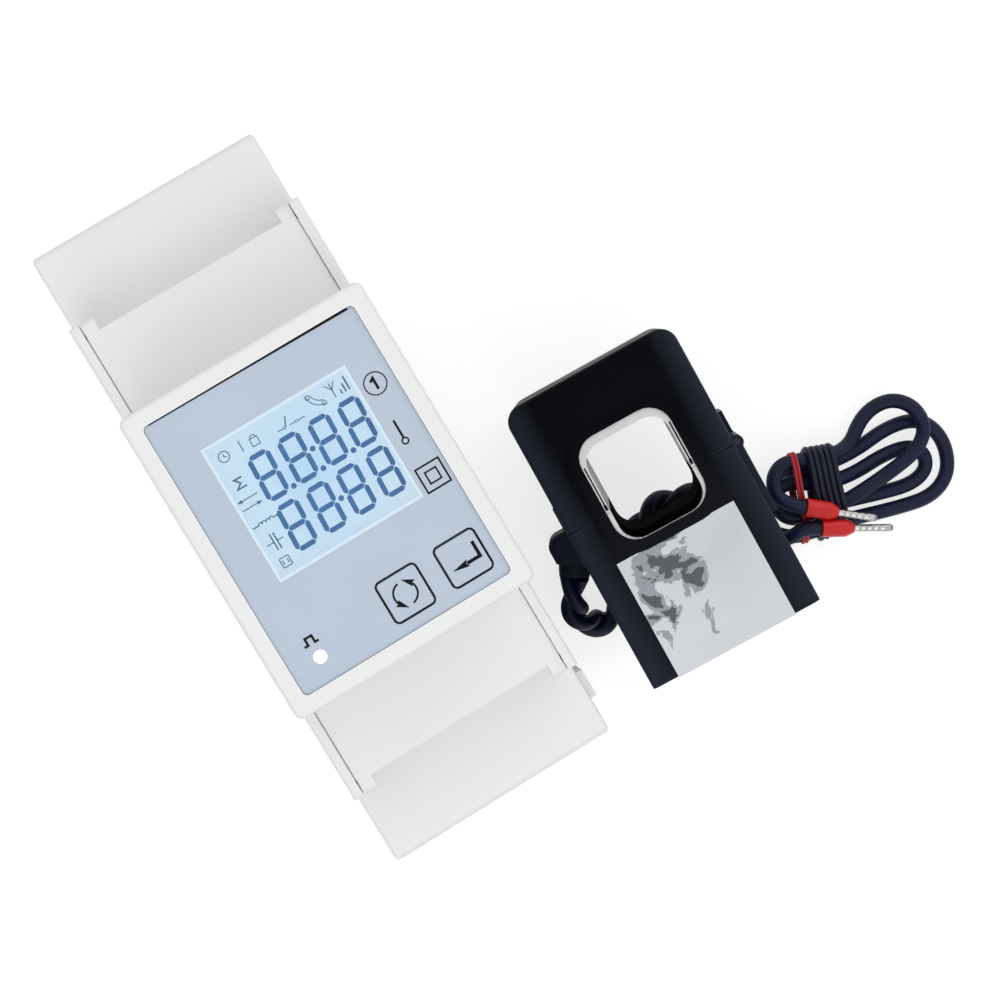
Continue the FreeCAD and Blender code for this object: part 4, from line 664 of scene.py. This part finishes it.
def make_display_glass():
    """The lit face: pale blue, whiter towards its edges, and faintly uneven."""
    finish = Finish("display_glass", (0.22, 0.36, 0.50), 0.25, specular=0.2)
    middle = sum(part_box("display_glass"), Vector()) / 2
    ball = round_patch(finish.tree, Location=(-middle.x / GLOW_REACH, -middle.y / GLOW_REACH, 0),
                       Scale=(1 / GLOW_REACH, 1 / GLOW_REACH, 0))
    uneven = spread(finish.tree, finish.place(GRAIN, Cloud=140.0)["Tone"], 0.3, 0.7, 0.8, 1.2)
    level = reckon(finish.tree, "MULTIPLY", ball, uneven)
    finish.blend(level, (0.48, 0.56, 0.63), (0.35, 0.475, 0.57), "Emission Color")
    finish.set("Emission Strength", 1.0)
    finish.blend(level, (0.24, 0.33, 0.42), (0.18, 0.31, 0.44))
    return finish.material


def make_pulse_light():
    """The top of the light pipe with its lamp on, faintly uneven and a little blue in places."""
    finish = Finish("pulse_light", (0.8, 0.8, 0.8), 0.25)
    glow = finish.place(GRAIN, Cloud=500.0)["Tone"]
    finish.blend(glow, (0.85, 0.90, 1.0), (1.0, 1.0, 1.0), "Emission Color")
    finish.blend(glow, (0.75, 0.75, 0.78), (0.85, 0.85, 0.85))
    finish.set("Emission Strength", 0.9)
    return finish.material


def make_clear(name, tint):
    finish = Finish(name, tint, 0.03, specular=0.15)
    finish.set("Transmission Weight", 1.0)
    finish.set("IOR", 1.4)
    clouded = finish.place(GRAIN, Grain=900.0, Cloud=200.0)
    finish.blend(clouded["Tone"], shade(tint, 0.98), shade(tint, 1.02))
    finish.raise_surface(clouded["Height"], 0.001, 0.2)
    return finish.material


def make_wire_sleeve():
    """Soft dark blue-black sleeve with a dull sheen and a few rubbed streaks."""
    finish = Finish("lead_sleeve", (0.005, 0.007, 0.030), 0.44, specular=0.2)
    grain = finish.place(GRAIN, Grain=1600.0, Cloud=180.0)
    finish.blend(grain["Tone"], (0.0025, 0.0035, 0.014), (0.008, 0.012, 0.050))
    finish.roughen(finish.place(MARKS, Smudges=240.0)["Mask"], 0.38, 0.55)
    finish.raise_surface(grain["Height"], 0.03)
    return finish.material


LABEL_REFLECTION_SPOT = (0.0368, -0.0366)


def make_label():
    """Bare satin foil with painted reflections: paler and darker patches in its colour, as from a foil that
    doesn't lie quite flat.
    """
    finish = Finish("silver_label", (0.55, 0.57, 0.60), 0.4, metallic=0.3, specular=0.2)
    tree = finish.tree
    lines = finish.place(BRUSHING, Along_X=14.0, Along_Y=1.0, Scale=120.0)["Lines"]
    cloud = finish.place(GRAIN, Grain=1400.0, Cloud=95.0)["Tone"]
    finish.blend(cloud, (0.48, 0.50, 0.525), (0.60, 0.62, 0.65))
    # Painted reflections: within a round spot, noise breaks the colour into grey and near-black patches.
    ball = round_patch(tree, "TEXTURE", Location=(*LABEL_REFLECTION_SPOT, 0), Rotation=(0, 0, math.radians(-12)),
                       Scale=(0.0075, 0.0125, 1))
    reflection_breakup = noise(tree, object_spot(tree), 120.0, Detail=6.0, Distortion=2.2)
    patch = reckon(tree, "ADD", spread(tree, ball, 0.0, 0.45, -0.3, 0.0), reflection_breakup)
    finish.over(spread(tree, patch, 0.44, 0.455, 0.0, 0.85), (0.23, 0.25, 0.28))
    finish.over(spread(tree, patch, 0.52, 0.53, 0.0, 0.85), (0.05, 0.06, 0.065))
    finish.roughen(cloud, 0.24, 0.42)
    finish.raise_surface(lines, 0.01, 0.4)
    return finish.material


# Where the transformer lies: its own X runs across it, its Y along it and its Z up from the floor.
CT_PLACE = (Matrix.Translation((45.5, -26.3, 0.96)) @ Matrix.Rotation(math.radians(-1.8), 4, "Z")
            @ Matrix.Rotation(math.radians(-9.0), 4, "Y"))


def make_case_black(name, edge_highlight=True):
    """Deep black in the middle of the top, with painted reflection: bluer and paler along both sides and
    towards the label's end.
    """
    finish = Finish(name, (0.002, 0.0025, 0.004), 0.42, specular=0.035)
    tree = finish.tree
    grain = finish.place(GRAIN, Grain=1500.0, Cloud=45.0)
    finish.blend(grain["Tone"], (0.0008, 0.0010, 0.0020), (0.0022, 0.0028, 0.0052))
    into = CT_PLACE.inverted()
    local = add_node(tree, "ShaderNodeMapping", {
        "Vector": object_spot(tree), "Location": into.translation * MM, "Rotation": into.to_euler("XYZ")})
    parts = add_node(tree, "ShaderNodeSeparateXYZ", {"Vector": local.outputs["Vector"]}).outputs
    # Painted reflection: paler and a little bluer towards the label's end.
    finish.over(spread(tree, parts["Y"], 0.010, -0.022, 0.0, 0.75), (0.0135, 0.0145, 0.022))
    # Painted highlight: bluer and paler along both long sides.
    finish.over(spread(tree, reckon(tree, "ABSOLUTE", parts["X"]), 0.0096, 0.0134, 0.0, 0.85),
                (0.0185, 0.0240, 0.037))
    if edge_highlight:
        # Painted highlight: paler and bluer along edges.
        finish.over(finish.place(EDGES)["Mask"], (0.022, 0.028, 0.046))
    finish.roughen(finish.place(MARKS)["Mask"], 0.36, 0.5)
    finish.raise_surface(grain["Height"], 0.014)
    return finish.material


# Plastics and prints: colour, roughness, grain, its depth, tone, specular and the colour of the painted
# highlight along edges.
MOULDED = {
    "white_plastic": ((0.80, 0.803, 0.806), 0.42, 2500.0, 0.010, 0.012, 0.5, (0.88, 0.88, 0.885)),
    "white_block": ((0.76, 0.77, 0.78), 0.5, 2500.0, 0.012, 0.02, 0.5, (0.82, 0.83, 0.84)),
    "grey_faceplate": ((0.475, 0.55, 0.65), 0.36, 1800.0, 0.004, 0.05, 0.4),
    "grey_rubber": ((0.47, 0.545, 0.645), 0.45, 1500.0, 0.01, 0.05, 0.4),
    "black_plastic": ((0.02, 0.02, 0.022), 0.5, 2500.0, 0.012, 0.03, 0.3),
    "led_body": ((0.8, 0.8, 0.78), 0.2, 2500.0, 0.002),
    "yellow_film": ((0.75, 0.58, 0.08), 0.3),
    "capacitor_sleeve": ((0.04, 0.05, 0.09), 0.35),
    "chip_epoxy": ((0.03, 0.03, 0.03), 0.6, 1200.0, 0.02),
    "bobbin_plastic": ((0.75, 0.73, 0.66), 0.5),
    "light_grey_liner": ((0.62, 0.63, 0.63), 0.4, 2500.0, 0.012, 0.05, 0.5, (0.75, 0.76, 0.76)),
    "wrap_black": ((0.005, 0.007, 0.022), 0.42, 1500.0, 0.03, 0.4, 0.25),
    "tie_red": ((0.42, 0.02, 0.03), 0.4, 2500.0, 0.02, 0.12, 0.3),
    "ferrule_red": ((0.60, 0.008, 0.010), 0.28, 900.0, 0.02, 0.1, 0.35),
    "light_guide": ((0.55, 0.75, 0.95), 0.3),
    "dark_oxide": ((0.012, 0.013, 0.016), 0.4, 1800.0, 0.006, 0.2, 0.3),
    # Painted shade for the window's bore: near black and barely reflecting.
    "bore_painted_shade": ((0.0015, 0.0018, 0.0025), 0.85, 1500.0, 0.014, 0.4, 0.005),
    "printed_black": ((0.005, 0.005, 0.007), 0.5, 1400.0, 0.004, 0.2, 0.1),
    "segment_blue": ((0.030, 0.185, 0.47), 0.35, 900.0, 0.001, 0.08, 0.1),
    "border_pale": ((0.66, 0.80, 0.90), 0.35, 900.0, 0.001, 0.05, 0.1),
    "icon_blue": ((0.06, 0.19, 0.33), 0.35, 900.0, 0.001, 0.08, 0.1),
}
FINISHES = {name: moulded(name, *row) for name, row in MOULDED.items()}
FINISHES.update({
    "board_green": make_board_finish(),
    "ferrite": make_ferrite(),
    "zinc_plate": metal("zinc_plate", (0.72, 0.72, 0.70), 0.35),
    "spring_steel": metal("spring_steel", (0.6, 0.6, 0.6), 0.25),
    "ct_black": make_case_black("ct_black"),
    "lip_black": make_case_black("lip_black", edge_highlight=False),
    "copper_enamel": make_winding(),
    "silver_label": make_label(),
    "lead_sleeve": make_wire_sleeve(),
    "tinned_copper": metal("tinned_copper", (0.42, 0.42, 0.41), 0.3, (20.0, 20.0), 0.55, 0.03),
    "clear_plastic": make_clear("clear_plastic", (0.95, 0.98, 1.0)),
    "display_glass": make_display_glass(),
    "pulse_light": make_pulse_light(),
})
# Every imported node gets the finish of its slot, apart from these.
NODE_FINISHES = {"light_pipe": "pulse_light", "ct_hinge_pin": "dark_oxide"}
slots = {part["node"]: part["material_slot"] for part in frame["record"]["subparts"]}
for name, node in nodes.items():
    node.data.materials.clear()
    node.data.materials.append(FINISHES[NODE_FINISHES.get(name, slots[name])])
    for face in node.data.polygons:
        face.material_index = 0
for tube, slot in tubes:
    tube.data.materials.append(FINISHES[slot])

for count, (start, way) in zip(("one", "two"), FERRULES):
    collar = finished(collar_mesh(start, way), "collar_" + count, "transformer", "ferrule_red")
    sleeve = finished(crimped_sleeve(start, way), "sleeve_" + count, "transformer", "tinned_copper")
    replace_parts(collar, "ferrule_collars")
    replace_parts(sleeve, "ferrule_pins")


# The transformer's window: a pale liner in two halves, slotted at its sides, under a thin black lip. Below a
# short pale rim, the lower half's bore is near black: painted shade.
CT_DEPTH, CT_SPLIT, SPLIT_GAP = 28.5, 2.9, 0.03
WINDOW_MIDDLE = 5.2
# Half width, half height and corner radius of each outline.
LINER_OUTER = (8.4, 8.9, 3.95)
LINER_OPEN = (6.7, 7.75, 3.1)
LIP_FOOT = (9.9, 10.4, 5.4)
LIP_TOP = (8.7, 9.2, 4.2)
LIP_OPEN = (7.35, 8.35, 3.6)
LIP_SHIFT, LINER_SHIFT = 0.42, -0.3
LIP_SUNK, LIP_RISE = 0.05, 0.28
RIM_DEPTH, RIM_RISE, RIM_ROUND = 2.4, 0.02, 0.1
SLOT_ASIDE = 7.02
SLOT_HALF = ((0.13, 10.4), (0.13, 4.2), (0.24, 4.1), (0.24, 3.3))


def half_ring(outer, opened, upper, shift=0.0):
    """One closed outline: the part of a rounded window frame above or below the transformer's split."""
    way = 1 if upper else -1
    edge = CT_SPLIT + SPLIT_GAP * way
    outlines = []
    for (half_x, half_y, corner), move in ((outer, 0.0), (opened, shift)):
        spots = box_outline((0.0, WINDOW_MIDDLE + move), half_x, half_y, corner)
        spots = [spot for spot in spots if (spot[1] - edge) * way > 0]
        outlines.append([(half_x * way, edge), *spots, (-half_x * way, edge)])
    return outlines[0] + outlines[1][::-1]


def liner_slot(side):
    """A slot in the liner's side wall, wider at its lower end."""
    middle = side * SLOT_ASIDE
    return [(middle - x, y) for x, y in SLOT_HALF] + [(middle + x, y) for x, y in reversed(SLOT_HALF)]


def top_edges_rounded(mesh, height, width):
    """Rounds the edges of a flat piece's top."""
    edges = [edge for edge in mesh.edges if all(abs(vert.co.z - height) < WELD for vert in edge.verts)
             and len(edge.link_faces) == 2 and abs(edge.calc_face_angle(0)) > 0.5]
    bmesh.ops.bevel(mesh, geom=edges, offset=width, affect="EDGES", segments=2, profile=0.5, material=-1,
                    clamp_overlap=True)
    return mesh


def in_transformer(mesh):
    bmesh.ops.transform(mesh, matrix=CT_PLACE, verts=mesh.verts)
    return mesh


def lip_half(upper):
    """The lip's half: its foot is wider than its top, so that it runs out flat into the shell."""
    foot = half_ring(LIP_FOOT, LIP_OPEN, upper, LIP_SHIFT)
    top = half_ring(LIP_TOP, LIP_OPEN, upper, LIP_SHIFT)
    mesh = bmesh.new()
    rings = [[mesh.verts.new((*spot, height)) for spot in outline]
             for outline, height in ((foot, CT_DEPTH - LIP_SUNK), (top, CT_DEPTH + LIP_RISE))]
    count = len(foot)
    for index in range(count):
        after = (index + 1) % count
        mesh.faces.new((rings[0][index], rings[0][after], rings[1][after], rings[1][index]))
    for row in rings:
        border = [mesh.edges.get((row[index], row[(index + 1) % count])) for index in range(count)]
        bmesh.ops.triangle_fill(mesh, use_beauty=True, use_dissolve=False, edges=border)
    return closed(mesh)


def liner_half(upper, top, depth):
    outlines = [half_ring(LINER_OUTER, LINER_OPEN, upper, LINER_SHIFT)]
    if upper:
        outlines += [liner_slot(-1), liner_slot(1)]
    return flat_sign(outlines, depth, top - depth)


RIM_TOP = CT_DEPTH + RIM_RISE
for half, body, upper in (("upper", "transformer_gate", True), ("lower", "transformer", False)):
    rim = top_edges_rounded(liner_half(upper, RIM_TOP, RIM_TOP if upper else RIM_DEPTH), RIM_TOP, RIM_ROUND)
    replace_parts(finished(in_transformer(rim), half + "_liner", body, "light_grey_liner"),
                "ct_%s_liner" % half)
    finished(in_transformer(lip_half(upper)), half + "_window_lip", body, "ct_black", "lip_black")
# Painted shade: the bore under the lower rim is near black and barely reflects, where the window is in shade.
bore = liner_half(False, RIM_TOP - RIM_DEPTH, RIM_TOP - RIM_DEPTH)
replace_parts(finished(in_transformer(bore), "lower_bore", "transformer", "ct_black", "bore_painted_shade"),
            "ct_lower_liner")


# The latch's spring, which shortens as the latch is pulled out.
SPRING_WIRE = 0.5
SPRING_TURNS, SPRING_STEPS = 6.0, 16


def make_spring():
    """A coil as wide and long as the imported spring's box."""
    low, high = (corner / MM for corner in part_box("latch_spring"))
    middle = (low + high) / 2
    radius = (high.x - low.x - SPRING_WIRE) / 2
    steps = int(SPRING_TURNS * SPRING_STEPS)
    route = []
    for step in range(steps + 1):
        angle = math.tau * SPRING_TURNS * step / steps
        along = low.y + SPRING_WIRE / 2 + (high.y - low.y - SPRING_WIRE) * step / steps
        around = Vector((math.cos(angle), 0, math.sin(angle))) * radius
        route.append(Vector((middle.x, along, middle.z)) + around)
    bare = bare_tube("spring_route", route, SPRING_WIRE, 2, 2)
    mesh = bmesh.new()
    mesh.from_mesh(bpy.data.meshes.new_from_object(bare))
    bpy.data.objects.remove(bare)
    bmesh.ops.scale(mesh, vec=(1 / MM, 1 / MM, 1 / MM), verts=mesh.verts)
    bmesh.ops.remove_doubles(mesh, verts=mesh.verts, dist=WELD)
    coil = finished(closed(mesh), "latch_coil", "meter", "spring_steel")
    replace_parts(coil, "latch_spring")
    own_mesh(coil)


make_spring()


# Ledges in the narrow gaps beside the terminal covers. The painted shadow in the gap above the faceplate is
# printed with the signs below.
def block(low, high):
    """A plain box between two corners."""
    mesh = bmesh.new()
    bmesh.ops.create_cube(mesh, size=1.0)
    low, high = Vector(low), Vector(high)
    bmesh.ops.scale(mesh, vec=high - low, verts=mesh.verts)
    bmesh.ops.translate(mesh, vec=(low + high) / 2, verts=mesh.verts)
    return mesh


LEDGE_SIDES, LEDGE_ENDS, LEDGE_HEIGHTS = (16.41, 16.6), (22.4, 34.9), (40.2, 41.3)
ledges = []
for side in (-1, 1):
    for end in (-1, 1):
        across, along = sorted(side * edge for edge in LEDGE_SIDES), sorted(end * edge for edge in LEDGE_ENDS)
        ledges.append(block(*zip(across, along, LEDGE_HEIGHTS)))
finished(joined(ledges), "cover_ledges", "meter", "white_plastic")


# Printed signs, drawn about the middle of the faceplate. A shape is a list of outlines.
PRINT = 0.02
PLATE_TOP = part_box("faceplate")[1].z / MM
KEY_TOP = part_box("cycle_button")[1].z / MM
GLASS_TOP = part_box("display_glass")[1].z / MM


def print_signs(name, shapes, height, body="meter", slot="black_plastic", look="printed_black"):
    """Shapes printed as one piece."""
    finished(joined([flat_sign(shape, PRINT, height) for shape in shapes]), name, body, slot, look)


def arrow(tip, tail, width):
    """A filled arrowhead from the middle of its back to its tip."""
    tip, tail = Vector(tip), Vector(tail)
    aside = (tip - tail).orthogonal().normalized() * width / 2
    return [[tuple(tip), tuple(tail + aside), tuple(tail.lerp(tip, 0.12)), tuple(tail - aside)]]


PHASE_SIGN = (12.95, 9.85)
TERMINAL_SIGN = (12.48, 1.53)
DOUBLE_BOX = (13.25, -4.16)
PULSE_SIGN = (-11.37, -14.2)
PULSE_WAVE = ((-1.05, -0.48), (-0.5, -0.48), (-0.5, 0.48), (0.5, 0.48), (0.5, -0.48), (1.05, -0.48))
# Painted shadow: a dark strip printed along the faceplate's top edge, for the gap between plate and frame.
GAP_SHADOW_LINE = [(-14.9, 19.98), (-14.6, 20.1), (14.6, 20.1), (15.0, 19.86), (14.6, 19.78), (0.0, 19.9)]
print_signs("faceplate_signs", [
    ring(PHASE_SIGN, 1.5, 0.16),
    stroke([(12.45, 10.25), (12.98, 10.62), (12.98, 9.02)], 0.36),
    stroke([(TERMINAL_SIGN[0], 4.56), (TERMINAL_SIGN[0], TERMINAL_SIGN[1] + 0.45)], 0.3),
    ring(TERMINAL_SIGN, 0.42, 0.2),
    box_line(DOUBLE_BOX, 1.83, 0.24),
    box_line(DOUBLE_BOX, 0.92, 0.22),
    stroke([(PULSE_SIGN[0] + x, PULSE_SIGN[1] + y) for x, y in PULSE_WAVE], 0.32),
], PLATE_TOP)
print_signs("faceplate_gap_shadow", [[GAP_SHADOW_LINE]], PLATE_TOP)

# The pane fills the faceplate's opening with a hair of play, and a pale printed border covers its edge.
PANE_PLAY = 0.05
BORDER_OUT, BORDER_IN, BORDER_THICK = 0.08, 0.34, 0.04
pane_low, pane_high = (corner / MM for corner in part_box("display_window"))
play = Vector((PANE_PLAY, PANE_PLAY, 0))
pane = block(pane_low + play, pane_high - play)
border = []
for grown in (BORDER_OUT, -BORDER_IN):
    low_x, high_x = pane_low.x - grown, pane_high.x + grown
    low_y, high_y = pane_low.y - grown, pane_high.y + grown
    border.append([(low_x, low_y), (high_x, low_y), (high_x, high_y), (low_x, high_y)])
finished(flat_sign(border, BORDER_THICK, pane_high.z), "display_border", "meter", "display_glass",
         "border_pale")
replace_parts(finished(pane, "display_pane", "meter", "clear_plastic"), "display_window")

KEY_FRAME = (3.0, 0.16, 0.62)
CYCLE_REACH, CYCLE_WIDTH = 1.6, 0.26


def cycle_signs(middle):
    """Two arrows that chase each other in a frame."""
    x, y = middle
    return [
        box_line(middle, *KEY_FRAME),
        stroke(arc(middle, CYCLE_REACH, 100, 205), CYCLE_WIDTH),
        stroke(arc(middle, CYCLE_REACH, -80, 25), CYCLE_WIDTH),
        arrow((x - 0.45, y - 1.85), (x - 1.62, y - 0.55), 0.95),
        arrow((x + 0.35, y + 1.85), (x + 1.62, y + 0.62), 0.95),
    ]


def enter_signs(middle):
    """A bent arrow in a frame."""
    x, y = middle
    return [
        box_line(middle, *KEY_FRAME),
        stroke([(x + 2.05, y + 1.35), (x + 2.05, y - 0.82), (x + 0.1, y - 0.82)], 0.46),
        arrow((x - 2.1, y - 0.82), (x + 0.25, y - 0.82), 0.98),
    ]


for key, signs in (("cycle", cycle_signs), ("enter", enter_signs)):
    key_middle = sum(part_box(key + "_button"), Vector()) / 2 / MM
    print_signs(key + "_signs", signs(key_middle.xy), KEY_TOP, key + "_key")


# The display: two rows of four digits with every segment lit, and a border of signs.
DIGIT_WIDTH, DIGIT_HEIGHT = 3.3, 6.6
SEGMENT, SEGMENT_GAP, SLANT = 0.68, 0.06, 0.045
DOT_RADIUS, DOT_RISE, DOT_ASIDE, COLON_ASIDE = 0.38, 0.42, 2.1, 2.22
# Each row: the middles of its digits, its height, and the digits that a point follows.
ROWS = [((-4.93, -0.48, 4.07, 8.52), 6.79, (0, 1, 2)), ((-5.08, -0.62, 3.89, 8.38), -0.61, ())]


def segment(first, last):
    """One bar between two points, pointed at both ends."""
    first, last = Vector(first), Vector(last)
    way = (last - first).normalized()
    aside = Vector((-way.y, way.x)) * SEGMENT / 2
    first, last = first + way * SEGMENT_GAP, last - way * SEGMENT_GAP
    inner_first, inner_last = first + way * SEGMENT / 2, last - way * SEGMENT / 2
    return [tuple(spot) for spot in (first, inner_first + aside, inner_last + aside, last,
                                     inner_last - aside, inner_first - aside)]


def digit(across, along):
    """Seven segments round two boxes, leaning slightly to the right."""
    half_x, half_y = (DIGIT_WIDTH - SEGMENT) / 2, (DIGIT_HEIGHT - SEGMENT) / 2
    corners = {(i, j): (i * half_x, j * half_y) for i in (-1, 1) for j in (-1, 0, 1)}
    bars = [((-1, j), (1, j)) for j in (-1, 0, 1)]
    bars += [((i, j), (i, j + 1)) for i in (-1, 1) for j in (-1, 0)]
    return [[(across + x + y * SLANT, along + y) for x, y in segment(corners[first], corners[last])]
            for first, last in bars]


def digit_signs():
    shapes = []
    for places, along, points in ROWS:
        shapes += [digit(across, along) for across in places]
        dots = [(places[index] + DOT_ASIDE, along - DIGIT_HEIGHT / 2 + DOT_RISE) for index in points]
        dots.append((places[1] + COLON_ASIDE, along))
        shapes += [[arc(dot, DOT_RADIUS, 0, 345, 23)] for dot in dots]
    return shapes


def coil(start, count, radius, width):
    """A line that rises in a row of half loops."""
    points = [(start[0] - 0.9, start[1]), start]
    for index in range(count):
        points += arc((start[0] + radius * (2 * index + 1), start[1]), radius, 180, 0, 8)[1:]
    points.append((points[-1][0] + 0.75, start[1]))
    return stroke(points, width)


def handset(middle):
    """A telephone handset: two bows between two end blocks."""
    x, y = middle
    centre = (x + 1.35, y + 1.35)
    return [stroke(arc(centre, 2.15, 186, 264, 14), 0.13), stroke(arc(centre, 1.55, 262, 188, 12), 0.13),
            box_line((x - 0.62, y + 1.02), 0.3, 0.12, 0.1), box_line((x + 1.02, y - 0.62), 0.3, 0.12, 0.1)]


THIN = 0.14
# Small signs at the display's left side and top. Each stroke: the points of its line, and its width.
ICON_STROKES = [
    ([(-8.0, 8.45), (-9.1, 8.45), (-8.5, 7.75), (-9.3, 7.15), (-7.9, 7.15)], 0.24),  # sum
    ([(-7.3, 5.6), (-9.8, 5.6)], THIN), ([(-10.2, 4.42), (-7.75, 4.42)], THIN),  # flow arrows
    ([(-9.85, -1.03), (-8.85, -1.03)], THIN), ([(-8.25, -1.03), (-7.4, -1.03)], THIN),  # capacitor
    ([(-8.8, 0.15), (-8.8, -2.2)], 0.2), ([(-8.3, 0.15), (-8.3, -2.2)], 0.2),
    ([(-9.1, -3.65), (-9.1, -4.25)], 0.16), ([(-8.4, -3.65), (-8.4, -4.25)], 0.16),  # socket
    ([(-1.0, 10.95), (-0.1, 10.95)], THIN), ([(0.22, 11.1), (0.85, 12.3)], 0.18),  # switch
    ([(0.75, 10.95), (1.65, 10.95)], THIN), ([(2.05, 10.95), (3.05, 10.95)], THIN),
    ([(7.1, 13.0), (8.52, 13.0), (7.81, 12.05), (7.1, 13.0), (8.52, 13.0)], 0.13),  # aerial
    ([(7.81, 13.0), (7.81, 10.95)], 0.15),
    ([(-8.6, 12.2), (-8.6, 11.75), (-8.25, 11.6)], 0.13),  # clock
    ([(-6.05, 12.6), (-6.05, 11.0)], 0.16),
    (arc((-4.15, 12.0), 0.38, 0, 180, 10), THIN),  # padlock
]
SIGNAL_BARS = (0.6, 1.2, 1.95)
icons = [stroke(points, width) for points, width in ICON_STROKES]
icons += [arrow((-10.3, 5.6), (-9.55, 5.6), 0.55), arrow((-7.25, 4.42), (-8.0, 4.42), 0.55)]
icons += [coil((-9.35, 1.8), 4, 0.27, 0.16), *handset((5.1, 11.75)), ring((-8.6, 11.75), 0.72, THIN, 28)]
icons += [ring((across, 10.95), 0.17, 0.1, 20) for across in (0.08, 1.85)]
icons += [box_line((-8.75, -3.95), 0.72, THIN, 0.2), box_line((-4.15, 11.45), 0.6, THIN, 0.12)]
icons += [[box_outline((8.75 + 0.56 * index, 10.95 + height / 2), 0.11, height / 2)]
          for index, height in enumerate(SIGNAL_BARS)]
print_signs("display_digits", digit_signs(), GLASS_TOP, slot="display_glass", look="segment_blue")
print_signs("display_border_signs", icons, GLASS_TOP, slot="display_glass", look="icon_blue")


# Studio: a pale floor, a broad soft lamp from above, a weaker one from the far side and an even pale room.
FLOOR_SIZE, FLOOR_GAP = 1.6, 0.00002
FLOOR_TONE, FLOOR_GLOW = (0.38, 0.38, 0.38), 0.74
KEY_LAMP = Vector((-0.25, -0.38, 0.75))
FILL_LAMP = Vector((0.6, 0.35, 0.5))
ROOM_LIGHT = 0.83
WHITE = (1.0, 1.0, 1.0, 1.0)


def seen_by_eye(tree):
    """One where a ray comes from the camera, a reflection or through glass; nothing where it only lights."""
    path = add_node(tree, "ShaderNodeLightPath").outputs
    seen = reckon(tree, "MAXIMUM", path["Is Camera Ray"], path["Is Glossy Ray"])
    return reckon(tree, "MAXIMUM", seen, path["Is Transmission Ray"])


def make_floor():
    mesh = bmesh.new()
    bmesh.ops.create_grid(mesh, x_segments=1, y_segments=1, size=FLOOR_SIZE)
    bmesh.ops.translate(mesh, vec=(0, 0, FLOOR * MM - FLOOR_GAP), verts=mesh.verts)
    floor = placed(mesh, "floor")
    paper = Finish("floor_paper", FLOOR_TONE, 0.9, specular=0.1)
    paper.set("Emission Color", WHITE)
    paper.feed("Emission Strength", reckon(paper.tree, "MULTIPLY", seen_by_eye(paper.tree), FLOOR_GLOW))
    floor.data.materials.append(paper.material)


def make_lamp(name, spot, size, power):
    lamp = bpy.data.objects.new(name, bpy.data.lights.new(name, "AREA"))
    lamp.data.shape = "SQUARE"
    lamp.data.size = size
    lamp.data.energy = power
    lamp.location = spot
    lamp.rotation_mode = "QUATERNION"
    lamp.rotation_quaternion = (-spot).to_track_quat("-Z", "Y")
    scene.collection.objects.link(lamp)


def make_room():
    """A white room to the eye, which lights the set a little less than it shows."""
    scene.world = bpy.data.worlds.new("pale_room")
    scene.world.use_nodes = True
    tree = scene.world.node_tree
    lit = tree.nodes["Background"]
    lit.inputs["Color"].default_value = WHITE
    lit.inputs["Strength"].default_value = ROOM_LIGHT
    seen = add_node(tree, "ShaderNodeBackground", {"Color": WHITE, "Strength": 1.0})
    mix = add_node(tree, "ShaderNodeMixShader", {
        "Fac": seen_by_eye(tree), 1: lit.outputs["Background"], 2: seen.outputs["Background"]})
    tree.links.new(mix.outputs["Shader"], tree.nodes["World Output"].inputs["Surface"])


make_floor()
make_lamp("key_lamp", KEY_LAMP, 0.5, 1.3)
make_lamp("fill_lamp", FILL_LAMP, 0.6, 0.9)
make_room()
scene.view_settings.view_transform = "Standard"
